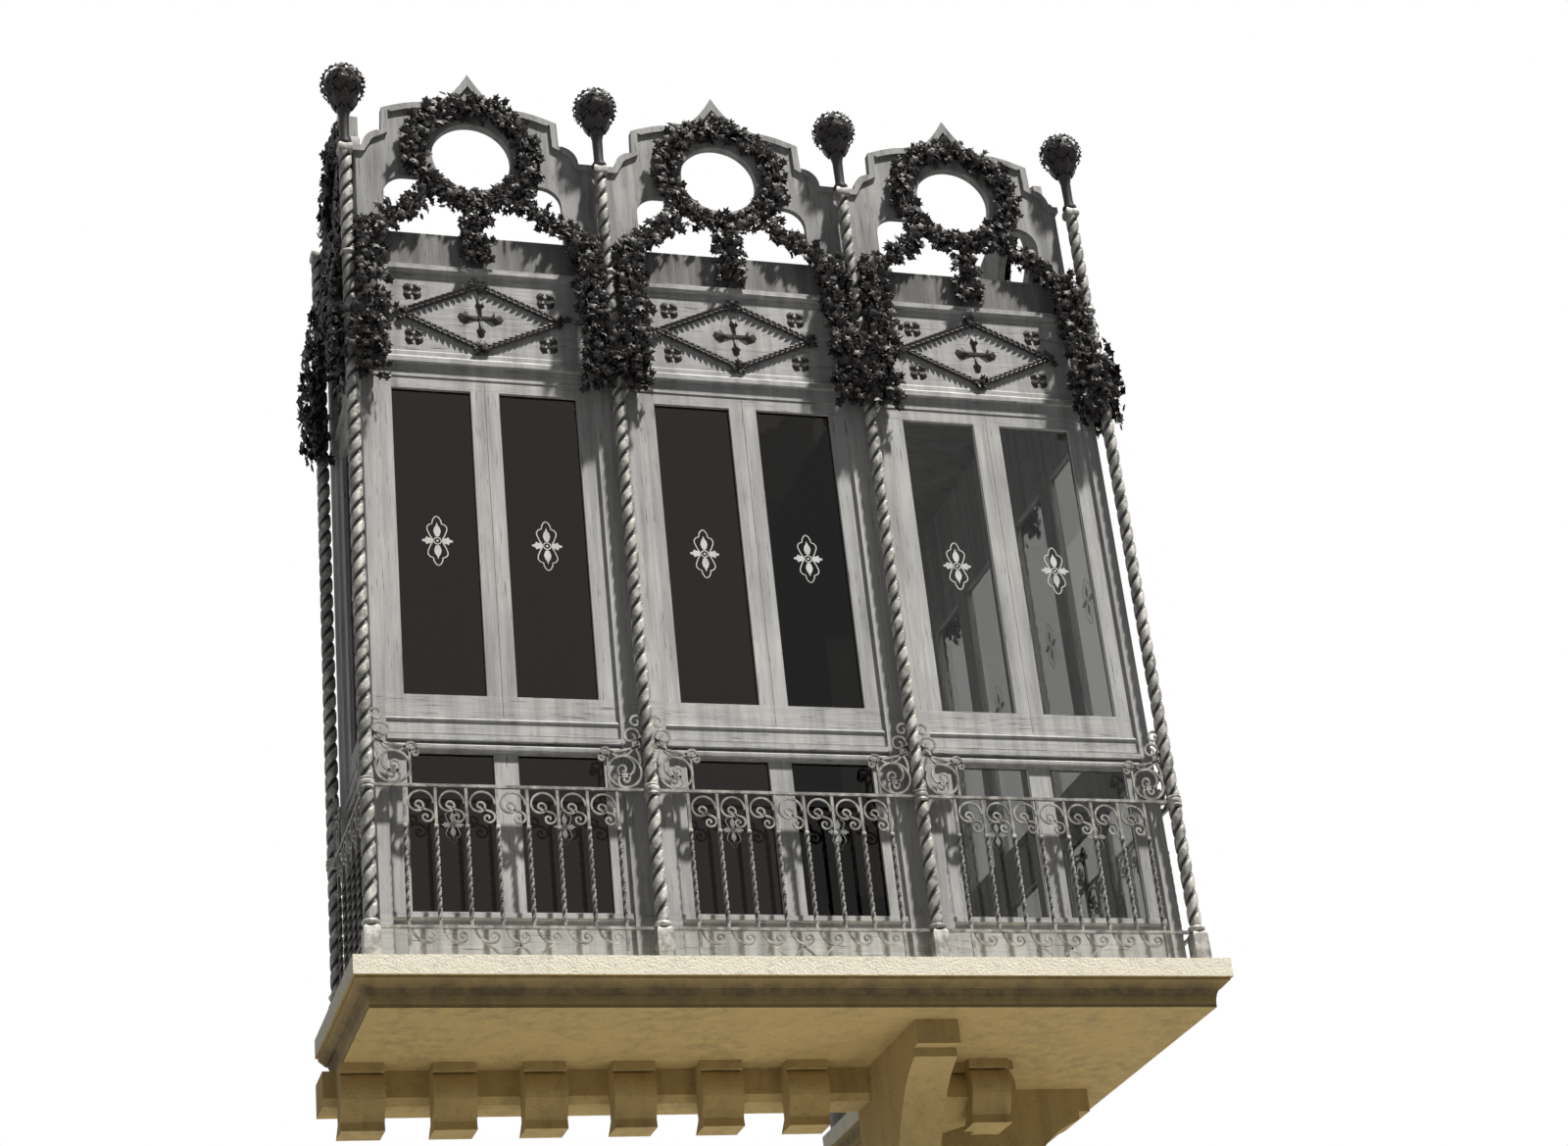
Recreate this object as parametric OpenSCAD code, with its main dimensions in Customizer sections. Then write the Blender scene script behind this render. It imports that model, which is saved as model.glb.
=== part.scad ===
// Glazed corner balcony: iron columns, timber windows and crest boards on a stone shelf.
// The shelf wraps round the outer corner of a building. All sizes are millimetres.
// X runs along the front wall, Y points into it and Z is up. The wall face is at Y = 0.

/* [Plan] */
// Distance between column axes along both walls
bay_w = 1250; // [1000:10:1500]
// Bays on the front wall
front_bays = 3; // [2:1:5]
// Bays on the side wall
side_bays = 2; // [1:1:4]
// Distance from the wall face to the column axes
reach = 1000; // [850:10:1300]
// Distance from the wall face to the axis of the column that stands beside it
wall_gap = 75; // [55:1:110]

/* [Levels above the floor] */
// Top of the sill under the lower lights
sill_top = 255; // [200:5:320]
// Underside of the transom
transom_low = 980; // [900:5:1040]
// Top of the transom, where the casements stand
transom_top = 1150; // [1100:5:1250]
// Top of the casements
casement_top = 2880; // [2500:10:3100]
// Underside of the frieze
frieze_low = 2950; // [2900:5:3300]
// Height of the frieze with its mouldings
frieze_h = 540; // [440:10:620]
// Top of the twisted columns
column_top = 4110; // [4000:10:4400]
// Centre of the round hole in each crest board
ring_z = 4141; // [4060:1:4400]
// Point of each crest board
crest_peak = 4640; // [4600:10:4900]
// Centre of the flower balls on the columns
ball_z = 4464; // [4400:1:4700]
// Top of the handrail
rail_top = 801; // [740:1:880]

/* [Stone shelf] */
// Overhang of the shelf past the column axes
shelf_over = 95; // [60:5:140]
// Thickness of the shelf
shelf_h = 205; // [160:5:280]
// Height of its plain edge
edge_h = 85; // [60:5:110]
// Depth of the hollow moulding under the edge
hollow = 60; // [30:5:80]
// Projection of the stone band under the shelf
band_out = 200; // [120:5:260]
// Height of the stone band
band_h = 150; // [110:5:200]
// Width of the small brackets on the band
modillion_w = 190; // [120:5:240]
// Distance between the small brackets
modillion_pitch = 400; // [300:5:500]
// How far the small brackets pass the band
modillion_out = 120; // [60:5:180]
// Height of the small brackets
modillion_h = 290; // [220:5:380]
// Width of the two large brackets
bracket_w = 200; // [140:5:280]
// Reach of the large brackets from the wall
bracket_out = 870; // [700:10:1200]
// Height of the large brackets
bracket_h = 820; // [600:10:1000]
// Distance of the large brackets from the building's corner edge
bracket_in = 160; // [120:5:400]

/* [Iron columns] */
// Side of the square bar that is twisted into a column
shaft_s = 44; // [36:1:56]
// Height of one full turn of the twisted bar
shaft_lead = 364; // [240:4:480]
// Side of the square foot of a column
foot_s = 72; // [60:1:96]
// Height of the square foot
foot_h = 162; // [100:1:220]
// Radius of the collar that takes the handrail
collar_r = 36; // [34:1:48]
// Height of that collar
collar_h = 34; // [20:1:60]
// Radius of the flower balls over their knobs
ball_r = 107; // [70:1:140]

/* [Timber] */
// Distance from the column axes to the front of the posts
post_in = 48; // [42:1:90]
// Half the width of a post, from the column axis to its edge
post_half = 104; // [90:1:140]
// Thickness of the posts
post_t = 56; // [40:1:90]
// Distance from the post's front to the front of the boards between the posts
board_set = 12; // [6:1:20]
// Thickness of the crest and frieze boards
board_t = 30; // [20:1:45]
// Width of the outer stiles of the windows
stile_w = 84; // [60:1:110]
// Width of the stiles that meet in the middle
meeting_w = 66; // [50:1:80]
// Height of the bottom rail of a casement
bottom_rail = 105; // [70:5:140]
// Height of the top rail of a casement
top_rail = 62; // [50:1:90]
// Thickness of a casement
leaf_t = 40; // [30:1:50]
// Thickness of the glass
glass_t = 4; // [3:0.5:8]
// Width of the mullion between the lower lights
mullion_w = 106; // [70:2:140]
// Thickness of the flat roof
roof_t = 40; // [20:1:60]

/* [Crest boards] */
// Radius of the round hole
hole_r = 195; // [140:5:230]
// Radius of the ring plate round the hole
plate_r = 265; // [240:5:320]
// Top of the arched openings
arch_top = 4010; // [3950:10:4100]
// Underside of the arched openings
arch_low = 3680; // [3600:10:3760]
// Distance from the column axes to the arched openings
arch_in = 190; // [150:5:260]
// Radius of the upper corners of the arched openings
arch_r = 105; // [60:5:150]
// Projection and height of the cap moulding
cap_w = 34; // [20:1:60]

/* [Iron ornament] */
// Outer radius of the leaf wreaths
wreath_r = 375; // [300:5:400]
// Thickness of the leaf work
leaf_iron = 26; // [14:1:40]
// Thickness of the flat ornament on the frieze
trim_t = 12; // [6:1:24]
// Half the width of the frieze lozenge
lozenge_w = 395; // [300:5:440]
// Half the height of the frieze lozenge
lozenge_h = 186; // [150:2:200]
// Side of the bars of the railing
bar_s = 12; // [8:1:18]
// Height of one full turn of a twisted baluster
bar_lead = 300; // [160:4:300]
// Distance between balusters
baluster_pitch = 133; // [100:1:180]
// Height of the scroll row under the handrail
scroll_h = 175; // [120:5:220]
// Outer radius of the ring ornament over the handrail
ring_r = 80; // [50:1:90]

/* [Hidden] */

$fn = 48;
// A seat between pieces that touch without being fused
seat = 0.3;
// Arcs wider than this are bent in finer steps
arc_wide = 0.375 * ring_r;
front_run = front_bays * bay_w;
side_run = side_bays * bay_w;
end_run = reach - wall_gap;
x_left = -front_run / 2;
x_corner = front_run / 2;
x_wall = x_corner - reach;
y_back = side_run - reach;
z_floor = shelf_h / 2;
frieze_top = frieze_low + frieze_h;
board_in = post_in + board_set;
leaf_in = board_in + 4;
cap_in = board_in - 14;
far = 9000;

stone = [0.80, 0.70, 0.52];
timber = [0.55, 0.57, 0.60];
iron = [0.24, 0.24, 0.25];
leaf_colour = [0.10, 0.09, 0.08];
glass_colour = [0.30, 0.36, 0.38, 0.5];

// The wings. Inside each, X runs along the wing from its free end, Y points inward from the
// column axes and Z rises from the floor. The last column of both wings is the corner one.
module on_front() {
    translate([x_left, -reach, z_floor]) children();
}

module on_side() {
    translate([x_corner, y_back, z_floor]) mirror([1, 1, 0]) children();
}

module on_left_end() {
    translate([x_left, -wall_gap, z_floor]) rotate([0, 0, -90]) children();
}

module on_back_end() {
    translate([x_wall + wall_gap, y_back, z_floor]) mirror([0, 1, 0]) children();
}

module each_bay(bays) {
    for (i = [0:bays - 1]) translate([i * bay_w, 0, 0]) children();
}

// A flat shape drawn in the wing's X and Z, as a plate from depth v to v + t
module plate(v, t) {
    translate([0, v + t, 0]) rotate([90, 0, 0]) linear_extrude(t) children();
}

// A shape drawn in depth and height, drawn out along the wing from u0 to u1
module run_along(u0, u1) {
    translate([u0, 0, 0]) rotate([90, 0, 90]) linear_extrude(u1 - u0) children();
}

module rect(x0, z0, x1, z1) {
    translate([x0, z0]) square([x1 - x0, z1 - z0]);
}

// Points along a bar that starts at p with heading h and is bent through a list of arcs, each
// [radius, turn], where a turn to the left is positive
function bent(p, h, arcs, i = 0) = i == len(arcs) ? [p] :
    let (r = arcs[i][0], turn = arcs[i][1], side = turn > 0 ? 90 : -90,
        n = ceil(abs(turn) / (r > arc_wide ? 30 : 45)),
        c = p + r * [cos(h + side), sin(h + side)], a = h - side)
    concat([for (k = [0:n - 1]) c + r * [cos(a + turn * k / n), sin(a + turn * k / n)]],
        bent(c + r * [cos(a + turn), sin(a + turn)], h + turn, arcs, i + 1));

// Direction of a path at point i
function heading(p, i) = let (a = p[max(i - 1, 0)], b = p[min(i + 1, len(p) - 1)], d = b - a)
    d / norm(d);

// A band along a path, with its half width taken from a list
module band_along(p, w) {
    n = len(p) - 1;
    one = [for (i = [0:n]) let (d = heading(p, i)) p[i] + w[i] * [-d.y, d.x]];
    two = [for (i = [n:-1:0]) let (d = heading(p, i)) p[i] - w[i] * [-d.y, d.x]];
    polygon(concat(one, two));
}

// The outline of a bar of width w that is bent through a list of arcs
module bent_bar(p, h, arcs, w) {
    path = bent(p, h, arcs);
    band_along(path, [for (q = path) w / 2]);
}

// A flat shape in the wing's X and Z, made solid with thickness t about the wing's line of columns
module upright(t) {
    rotate([90, 0, 0]) linear_extrude(t, center = true) children();
}
// A flat shape and its mirror image about the middle of a bay
module both_sides(run) {
    children();
    translate([run, 0]) mirror([1, 0]) children();
}

// The same for a solid
module both_sides_solid(run) {
    children();
    translate([run, 0, 0]) mirror([1, 0, 0]) children();
}

// The stone shelf

// Cross-section of the shelf from a back edge at zero out to its edge at d
module shelf_profile(d) {
    step = 12;
    low = -shelf_h;
    curve_r = shelf_h - edge_h - 2 * step;
    arc = [for (a = [0:15:90]) [d - step - hollow * sin(a), -edge_h - step - curve_r * (1 - cos(a))]];
    polygon(concat([[0, 0], [d, 0], [d, -edge_h], [d - step, -edge_h], [d - step, -edge_h - step]],
        [for (i = [1:len(arc) - 1]) arc[i]], [[d - step - hollow, low], [0, low]]));
}

// The wing's own side of the mitre at its last column, and at its first one where both is true
module mitre(run, low, top, both = false) {
    half = both ? [run / 2, run / 2] : [run - far, far];
    translate([0, 0, low]) linear_extrude(top - low)
        polygon(both ? [[0, 0], [-far, -far], [run + far, -far], [run, 0], half]
            : [[-far, -far], [run + far, -far], half, [-far, far]]);
}

module shelf(run) {
    end = run + shelf_over;
    intersection() {
        translate([end, reach, 0]) rotate([90, 0, -90])
            linear_extrude(end + shelf_over) shelf_profile(reach + shelf_over);
        translate([end, reach + 1, 0]) rotate([90, 0, 0]) mirror([1, 0, 0])
            linear_extrude(reach + shelf_over + 2) shelf_profile(end + shelf_over);
        mitre(run, -shelf_h - 1, 1);
    }
}

module stone_band(run) {
    end = run - reach + band_out;
    low = -shelf_h - band_h;
    lip = 30;
    color(stone) intersection() {
        translate([-shelf_over, reach, 0]) rotate([90, 0, 90]) linear_extrude(end + shelf_over)
            polygon([[0, -shelf_h], [-band_out, -shelf_h], [-band_out, low + lip],
                [-band_out + lip, low], [0, low]]);
        mitre(run, low - 1, -shelf_h + 1);
    }
}

// One small bracket: an S-shaped front under a plain cap, standing out from the band
module modillion() {
    d = band_out + modillion_out;
    top = -shelf_h;
    low = top - modillion_h;
    cap = 40;
    swell = [for (a = [90:-15:-30]) [-d + 42 - 42 * cos(a), top - cap - 80 + 80 * sin(a)]];
    rotate([90, 0, 90]) linear_extrude(modillion_w)
        polygon(concat([[-band_out, top], [-d, top], [-d, top - cap]], swell,
            [[-d + 46, low + 40], [-d + 40, low], [-band_out + 60, low], [-band_out, low + 50]]));
}

module modillions(run) {
    first = 60;
    last = run - reach + band_out + modillion_out;
    bracket_u = run - reach - bracket_in - bracket_w;
    count = floor((bracket_u - 100 - modillion_w / 2 - first) / modillion_pitch);
    color(stone) {
        for (i = [0:count]) translate([first + i * modillion_pitch - modillion_w / 2, reach, 0])
            modillion();
        intersection() {
            translate([last - modillion_w - 40, reach, 0]) modillion();
            mitre(run, -shelf_h - modillion_h - 1, 0);
        }
    }
}

// One large bracket, with a square end block over a long S-shaped front
module corner_bracket(run) {
    block = 110;
    top = -shelf_h;
    low = top - bracket_h;
    toe = 150;
    u = run - reach - bracket_in - bracket_w;
    n = 12;
    sweep = [for (i = [0:n]) let (t = i / n)
        [-(bracket_out - 60) + (bracket_out - 60 - toe) * t,
            top - block - 40 - (bracket_h - block - 40 - 70) * (t - sin(360 * t) / 11)]];
    color(stone) translate([u, reach, 0]) rotate([90, 0, 90]) linear_extrude(bracket_w)
        polygon(concat([[-band_out - seat, top], [-bracket_out, top], [-bracket_out, top - block],
            [-bracket_out + 60, top - block]], sweep, [[-toe, low], [0, low],
            [0, top - band_h - seat], [-band_out - seat, top - band_h - seat]]));
}

// The iron columns

module twisted_bar(s, h, lead, steps) {
    linear_extrude(h, twist = -360 * h / lead, slices = max(2, round(h * steps / lead)), $fn = 4)
        square(s, center = true);
}

module column() {
    collar_z = rail_top - collar_h / 2;
    translate([-foot_s / 2, -foot_s / 2, 0]) cube([foot_s, foot_s, foot_h]);
    translate([0, 0, foot_h]) twisted_bar(shaft_s, collar_z - foot_h, shaft_lead, 7);
    translate([0, 0, collar_z]) cylinder(r = collar_r, h = collar_h);
    translate([0, 0, collar_z + collar_h])
        twisted_bar(shaft_s, column_top - collar_z - collar_h, shaft_lead, 7);
}

// Neck and flower ball that stand on a column
module finial() {
    neck_h = ball_z - column_top;
    core = ball_r - 18;
    translate([0, 0, column_top]) rotate_extrude()
        polygon([[0, 0], [34, 0], [34, 14], [22, 26], [13, 60], [15, neck_h - core - 30],
            [40, neck_h - core + 12], [0, neck_h - core + 12]]);
    translate([0, 0, ball_z]) {
        sphere(r = core);
        for (a = [0, 90]) rotate([90, 0, a]) petal_ring();
        petal_ring();
    }
}

// Slice of the flower ball: a disc with petals round its edge
module petal_ring() {
    linear_extrude(30, center = true) polygon(lobes(8, ball_r - 26, ball_r, 3));
}

// The timber frame

// Front moulding of the transom, in depth and height
module transom_profile() {
    back = post_in + post_t;
    polygon([[back, transom_low], [board_in, transom_low], [board_in, transom_low + 38],
        [board_in + 8, transom_low + 48], [post_in - 6, transom_low + 52], [post_in - 6, transom_low + 76],
        [board_in + 6, transom_low + 82], [board_in, transom_low + 90], [board_in, transom_top],
        [back, transom_top]]);
}

// Sill, transom, head and the lower lights between two posts
module bay_frame(run) {
    u0 = post_half;
    u1 = run - post_half;
    back = post_in + post_t;
    run_along(u0, u1) polygon([[back, 0], [board_in + 8, 0], [board_in + 8, sill_top - 45],
        [board_in - 4, sill_top - 35], [board_in - 4, sill_top - 12], [back, sill_top]]);
    run_along(u0, u1) transom_profile();
    run_along(u0, u1) polygon([[back, casement_top], [board_in, casement_top],
        [board_in, frieze_low], [back, frieze_low]]);
    plate(leaf_in, leaf_t) {
        rect(u0, sill_top - 20, u0 + stile_w, transom_low + 10);
        rect(u1 - stile_w, sill_top - 20, u1, transom_low + 10);
        rect(run / 2 - mullion_w / 2, sill_top - 20, run / 2 + mullion_w / 2, transom_low + 10);
    }
}

module post(u0, u1) {
    translate([u0, post_in, 0]) cube([u1 - u0, post_t, frieze_top]);
}

module corner_post() {
    translate([post_in, post_in, 0]) cube([post_half - post_in, post_half - post_in, frieze_top]);
}

module wing_frame(run, bays) {
    color(timber) {
        each_bay(bays) bay_frame(bay_w);
        if (bays > 1) for (i = [1:bays - 1]) post(i * bay_w - post_half, i * bay_w + post_half);
        corner_post();
    }
}

module end_frame() {
    color(timber) {
        bay_frame(end_run);
        post(-wall_gap, post_half);
    }
}

// Casements and glass

module leaf(u0, u1, left_w, right_w) {
    plate(leaf_in, leaf_t) difference() {
        rect(u0, transom_top + seat, u1, casement_top - seat);
        rect(u0 + left_w, transom_top + bottom_rail, u1 - right_w, casement_top - top_rail);
    }
}

module bay_casements(run) {
    u0 = post_half + seat;
    u1 = run - post_half - seat;
    mid = run / 2;
    color(timber) {
        leaf(u0, mid - 1, stile_w, meeting_w);
        leaf(mid + 1, u1, meeting_w, stile_w);
    }
}

module pane(x0, z0, x1, z1) {
    plate(leaf_in + (leaf_t - glass_t) / 2, glass_t)
        rect(x0 + seat, z0 + seat, x1 - seat, z1 - seat);
}

module bay_glass(run) {
    u0 = post_half;
    mid = run / 2;
    color(glass_colour) both_sides_solid(run) {
        pane(u0 + seat + stile_w, transom_top + bottom_rail, mid - 1 - meeting_w, casement_top - top_rail);
        pane(u0 + stile_w, sill_top, mid - mullion_w / 2, transom_low);
    }
}

// The frieze

module bay_frieze(run) {
    lip = post_in - 8;
    back = post_in + post_t;
    color(timber) run_along(post_half, run - post_half)
        polygon([[back, frieze_low], [lip, frieze_low], [lip, frieze_low + 24],
            [board_in - 4, frieze_low + 40], [board_in - 4, frieze_low + 62], [board_in, frieze_low + 70],
            [board_in, frieze_top - 66], [board_in - 4, frieze_top - 58], [board_in - 4, frieze_top - 40],
            [lip, frieze_top - 26], [lip, frieze_top], [back, frieze_top]]);
}

// Loop of points round a lozenge, each side broken into leaves that swell outwards by bump
function lozenge_loop(w, h, leaves, bump) = [for (side = [0:3]) for (i = [0:leaves * 2 - 1])
    let (tips = [[-w, 0], [0, h], [w, 0], [0, -h]], a = tips[side], b = tips[(side + 1) % 4],
        t = i / (leaves * 2), d = (b - a) / norm(b - a), out = (i % 2) * bump)
    a + (b - a) * t + out * [-d.y, d.x]];

// Star-like outline with rounded lobes
function lobes(n, r0, r1, steps) = [for (i = [0:n * steps - 1])
    let (a = i * 360 / (n * steps), r = r0 + (r1 - r0) * abs(sin(a * n / 2))) [r * cos(a), r * sin(a)]];

module lozenge() {
    outer = lozenge_loop(lozenge_w, lozenge_h, 8, 14);
    inner = lozenge_loop(lozenge_w - 48, lozenge_h - 26, 8, 0);
    n = len(outer);
    polygon(concat(outer, inner), paths = [[for (i = [0:n - 1]) i], [for (i = [0:n - 1]) n + i]]);
}

module bay_frieze_ornament(run) {
    mid = run / 2;
    z = frieze_low + frieze_h / 2 + 2;
    w = min(lozenge_w, mid - post_half - 40) / lozenge_w;
    color(leaf_colour) plate(board_in - trim_t, trim_t) translate([mid, z]) {
        scale(w) lozenge();
        rotate(45) polygon(lobes(4, 26, 96, 4));
        for (sx = [-1, 1], sz = [-1, 1]) translate([sx * 320 * w, sz * 125])
            rotate(45) polygon(lobes(4, 16, 38, 3));
    }
}

// The crest boards

// Left half of the top edge of a crest board: a flat stretch, a lobe, a step up to the shoulder
// and a hollow rise to the point. Narrow bays have it squeezed sideways.
function crest_half(run) = let (mid = run / 2, k = run / bay_w, low = ring_z + 18,
    lobe = [185 * k, 93 * k, 98], shoulder = [190 * k, crest_peak - 248, 228 * k, 56],
    foot = [shoulder[0] + shoulder[2], shoulder[1] + shoulder[3]])
    concat([[0, low]],
        [for (a = [180:-15:90]) [lobe[0] + lobe[1] * cos(a), low + lobe[2] * sin(a)]],
        [for (a = [0:15:90]) [shoulder[0] + shoulder[2] * a / 90, shoulder[1] + shoulder[3] * sin(a)]],
        [for (i = [1:6]) let (t = i / 6)
            [foot.x + (mid - foot.x) * t, foot.y + (crest_peak - foot.y) * t * t]]);

// The underside of the cap moulding along that edge
function cap_half(run) = let (p = crest_half(run), n = len(p) - 1, mid = run / 2)
    [for (i = [0:n]) let (d = heading(p, i)) i == n ? [mid, crest_peak - 2 * cap_w]
        : [min(mid - 1, p[i].x + cap_w * d.y), p[i].y - cap_w * d.x]];

// A left half and its mirror image about the middle of a bay, as one list of points
function mirrored(half, run) =
    concat(half, [for (i = [len(half) - 2:-1:0]) [run - half[i].x, half[i].y]]);

// The board over the arched openings, cut out for the ring plate
module crest_board(run) {
    base = arch_top - arch_r;
    span = run - 2 * arch_in;
    difference() {
        polygon(concat([[0, base]], mirrored(crest_half(run), run), [[run, base]]));
        translate([arch_in + arch_r, base - 1]) square([span - 2 * arch_r, arch_r + 1]);
        both_sides(run) translate([arch_in + arch_r, base]) circle(arch_r);
        translate([run / 2, ring_z]) circle(plate_r + seat);
    }
}

// The ring plate is sawn from four quarters
module ring_plate() {
    wide = 2 * plate_r;
    for (i = [0:3]) rotate(90 * i) intersection() {
        difference() {
            circle(plate_r);
            circle(hole_r);
        }
        polygon([[seat, 0], [seat + wide, -wide], [seat + wide, wide]]);
    }
}

module bay_crest(run) {
    cap = mirrored(crest_half(run), run);
    under = mirrored(cap_half(run), run);
    intersection() {
        union() {
            plate(board_in, board_t) crest_board(run);
            plate(cap_in, board_in + board_t - cap_in)
                polygon(concat(cap, [for (i = [len(under) - 1:-1:0]) under[i]]));
        }
        translate([seat / 2, 0, 0]) cube([run - seat, reach, crest_peak + 1]);
    }
    plate(cap_in, board_in + board_t - cap_in) translate([run / 2, ring_z]) ring_plate();
}

// Upright board between two arched openings, up to the crest boards
module crest_stile(u0, u1) {
    plate(board_in, board_t) rect(u0, arch_low + seat, u1, arch_top - arch_r - seat);
}

module wing_crest(run, bays) {
    color(timber) intersection() {
        union() {
            each_bay(bays) bay_crest(bay_w);
            plate(board_in, board_t) rect(0, frieze_top, run, arch_low);
            for (i = [0:bays]) crest_stile(max(0, i * bay_w - arch_in), min(run, i * bay_w + arch_in));
        }
        mitre(run, frieze_top - 1, crest_peak + 1, both = true);
    }
}

module end_crest() {
    color(timber) intersection() {
        union() {
            bay_crest(end_run);
            plate(board_in, board_t) rect(-wall_gap, frieze_top, end_run, arch_low);
            plate(board_in, board_t) rect(-wall_gap, arch_top - arch_r, 0, ring_z - 20);
            crest_stile(-wall_gap, arch_in);
            crest_stile(end_run - arch_in, end_run);
        }
        mitre(end_run, frieze_top - 1, crest_peak + 1);
    }
}

// Leaf work

// Leafy ring with a tail that hangs from its foot
module wreath() {
    tail = 130;
    n = 72;
    outer = [for (i = [0:n - 1]) let (a = i * 360 / n, low = (a - 270) / 9,
        r = wreath_r - 50 + 50 * abs(sin(a * 12)) + tail * exp(-low * low)) [r * cos(a), r * sin(a)]];
    inner = [for (i = [0:n - 1]) let (a = i * 360 / n, r = hole_r + 12 + 14 * abs(sin(a * 8)))
        [r * cos(a), r * sin(a)]];
    polygon(concat(outer, inner), paths = [[for (i = [0:n - 1]) i], [for (i = [0:n - 1]) n + i]]);
}

module bay_wreath(run) {
    flowers = 14;
    ring = (wreath_r + hole_r) / 2 - 5;
    color(leaf_colour) {
        plate(cap_in - leaf_iron, leaf_iron) translate([run / 2, ring_z]) wreath();
        translate([run / 2, cap_in - leaf_iron, ring_z]) rotate([90, 0, 0])
            for (i = [0:flowers - 1]) rotate(i * 360 / flowers) translate([ring, 0, 0])
                cylinder(r1 = 52, r2 = 34, h = 22);
    }
}

// Garland that leaves the wreath, crosses the arched opening and drops beside the column
function garland_path(run) = let (mid = run / 2, drop = (post_in + post_half) / 2,
    start = [mid - (wreath_r + 55) * cos(45), ring_z - (wreath_r + 55) * sin(45)],
    bend = min(140, (start.x - drop) * 0.8),
    turn = [drop + bend, arch_low - 10])
    concat([for (i = [0:5]) let (t = i / 6) start + (turn - start) * t + [0, -18 * sin(180 * t)]],
        [for (a = [90:22.5:180]) turn + [bend * cos(a), -bend + bend * sin(a)]],
        [for (z = [turn.y - bend - 60:-60:frieze_low - 110]) [drop, z]]);

module bay_garland(run) {
    path = garland_path(run);
    n = len(path) - 1;
    widest = (post_half - post_in) / 2 - 1;
    width = [for (i = [0:n]) widest - 11 * ((i + 1) % 2)];
    color(leaf_colour) plate(post_in - leaf_iron, leaf_iron) both_sides(run) band_along(path, width);
}

// The railing

// One baluster from the bottom rail up to h, twisted below the row of scrolls
module baluster(h) {
    twisted = h - foot_h - scroll_h - 10;
    quarters = round(4 * twisted / bar_lead);
    translate([0, 0, foot_h]) twisted_bar(bar_s, twisted, 4 * twisted / quarters, 5);
    translate([-bar_s / 2, -bar_s / 2, foot_h + twisted]) cube([bar_s, bar_s, h - foot_h - twisted]);
}

// Scroll that leaves the right baluster, winds in, and throws a reversed curl from its foot.
// Its widest arc fills the half width r between two balusters.
module rail_scroll(r, w) {
    edge = r - w / 2 + 1;
    side = 0.89 * r;
    foot = 0.66 * r;
    bent_bar([edge, 0], 90, [[side, 90], [side, 90], [foot, 90], [0.4 * r, 90], [0.35 * r, 90],
        [0.23 * r, 100]], w);
    bent_bar([edge - 2 * side + foot, -foot], -6, [[2.5 * r, -18], [0.43 * r, -156], [0.33 * r, -90],
        [0.2 * r, -60]], w);
}

// Wave that hangs from the bottom rail and curls up before the next baluster
module rail_wave(r, w) {
    bent_bar([-0.89 * r, 3], -85, [[1.19 * r, 80], [0.56 * r, 60], [0.33 * r, 120], [0.2 * r, 140]], w);
}

// Foot that spreads from the floor to the waves on both sides of a baluster
module rail_foot(r, w) {
    for (m = [0, 1]) mirror([m, 0]) bent_bar([0, w / 2], 65, [[2.73 * r, -38]], w);
}

module bay_railing(run) {
    count = floor((run - 2 * ring_r - 5 * bar_s) / baluster_pitch) + 1;
    first = (run - (count - 1) * baluster_pitch) / 2;
    top = rail_top - bar_s;
    r = baluster_pitch / 2 - bar_s / 2;
    low = foot_h - bar_s;
    w = 2 * bar_s / 3;
    color(iron) {
        translate([collar_r + seat, -bar_s / 2, top])
            cube([run - 2 * (collar_r + seat), bar_s, bar_s]);
        translate([foot_s / 2 + seat, -bar_s / 2, low])
            cube([run - foot_s - 2 * seat, bar_s, bar_s]);
        for (i = [0:count - 1]) translate([first + i * baluster_pitch, 0, 0]) {
            baluster(top);
            if (i == 0 || i == count - 1)
                translate([-bar_s / 2, -bar_s / 2, 0]) cube([bar_s, bar_s, low]);
            else if (abs(i - (count - 1) / 2) < 1) upright(w) rail_foot(r, w);
        }
        upright(w) for (i = [0:count - 2]) translate([first + (i + 0.5) * baluster_pitch, 0]) {
            translate([0, top - 0.89 * r - w / 2 + 1]) rail_scroll(r, w);
            translate([0, low]) rail_wave(r, w);
        }
    }
}

// Ring with inner curls over the handrail, and the S-scroll that climbs the column
module scroll_bracket() {
    w = 9;
    u = collar_r + seat + ring_r;
    z = rail_top + seat + ring_r;
    upright(w) translate([u, z]) {
        difference() {
            circle(ring_r);
            circle(ring_r - w);
        }
        bent_bar([0, ring_r - w / 2], 184, [[0.62 * ring_r, 176], [0.3 * ring_r, 200]], w);
        bent_bar([0, w / 2 - ring_r], 4, [[0.4 * ring_r, 176], [0.2 * ring_r, 150]], w);
        bent_bar([0, ring_r - 4], 170, [[0.75 * ring_r, -60], [0.38 * ring_r, -30],
            [0.2 * ring_r, 270]], w);
    }
}

module bay_scroll_brackets(run) {
    color(iron) both_sides_solid(run) scroll_bracket();
}

// The roof behind the crest boards

module wing_roof(run) {
    inner = post_in + post_t + seat;
    color(timber) intersection() {
        translate([inner, inner, frieze_top - roof_t])
            cube([run - 2 * inner + reach, reach - inner, roof_t]);
        mitre(run, frieze_top - roof_t - 1, frieze_top + 1);
    }
}

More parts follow.
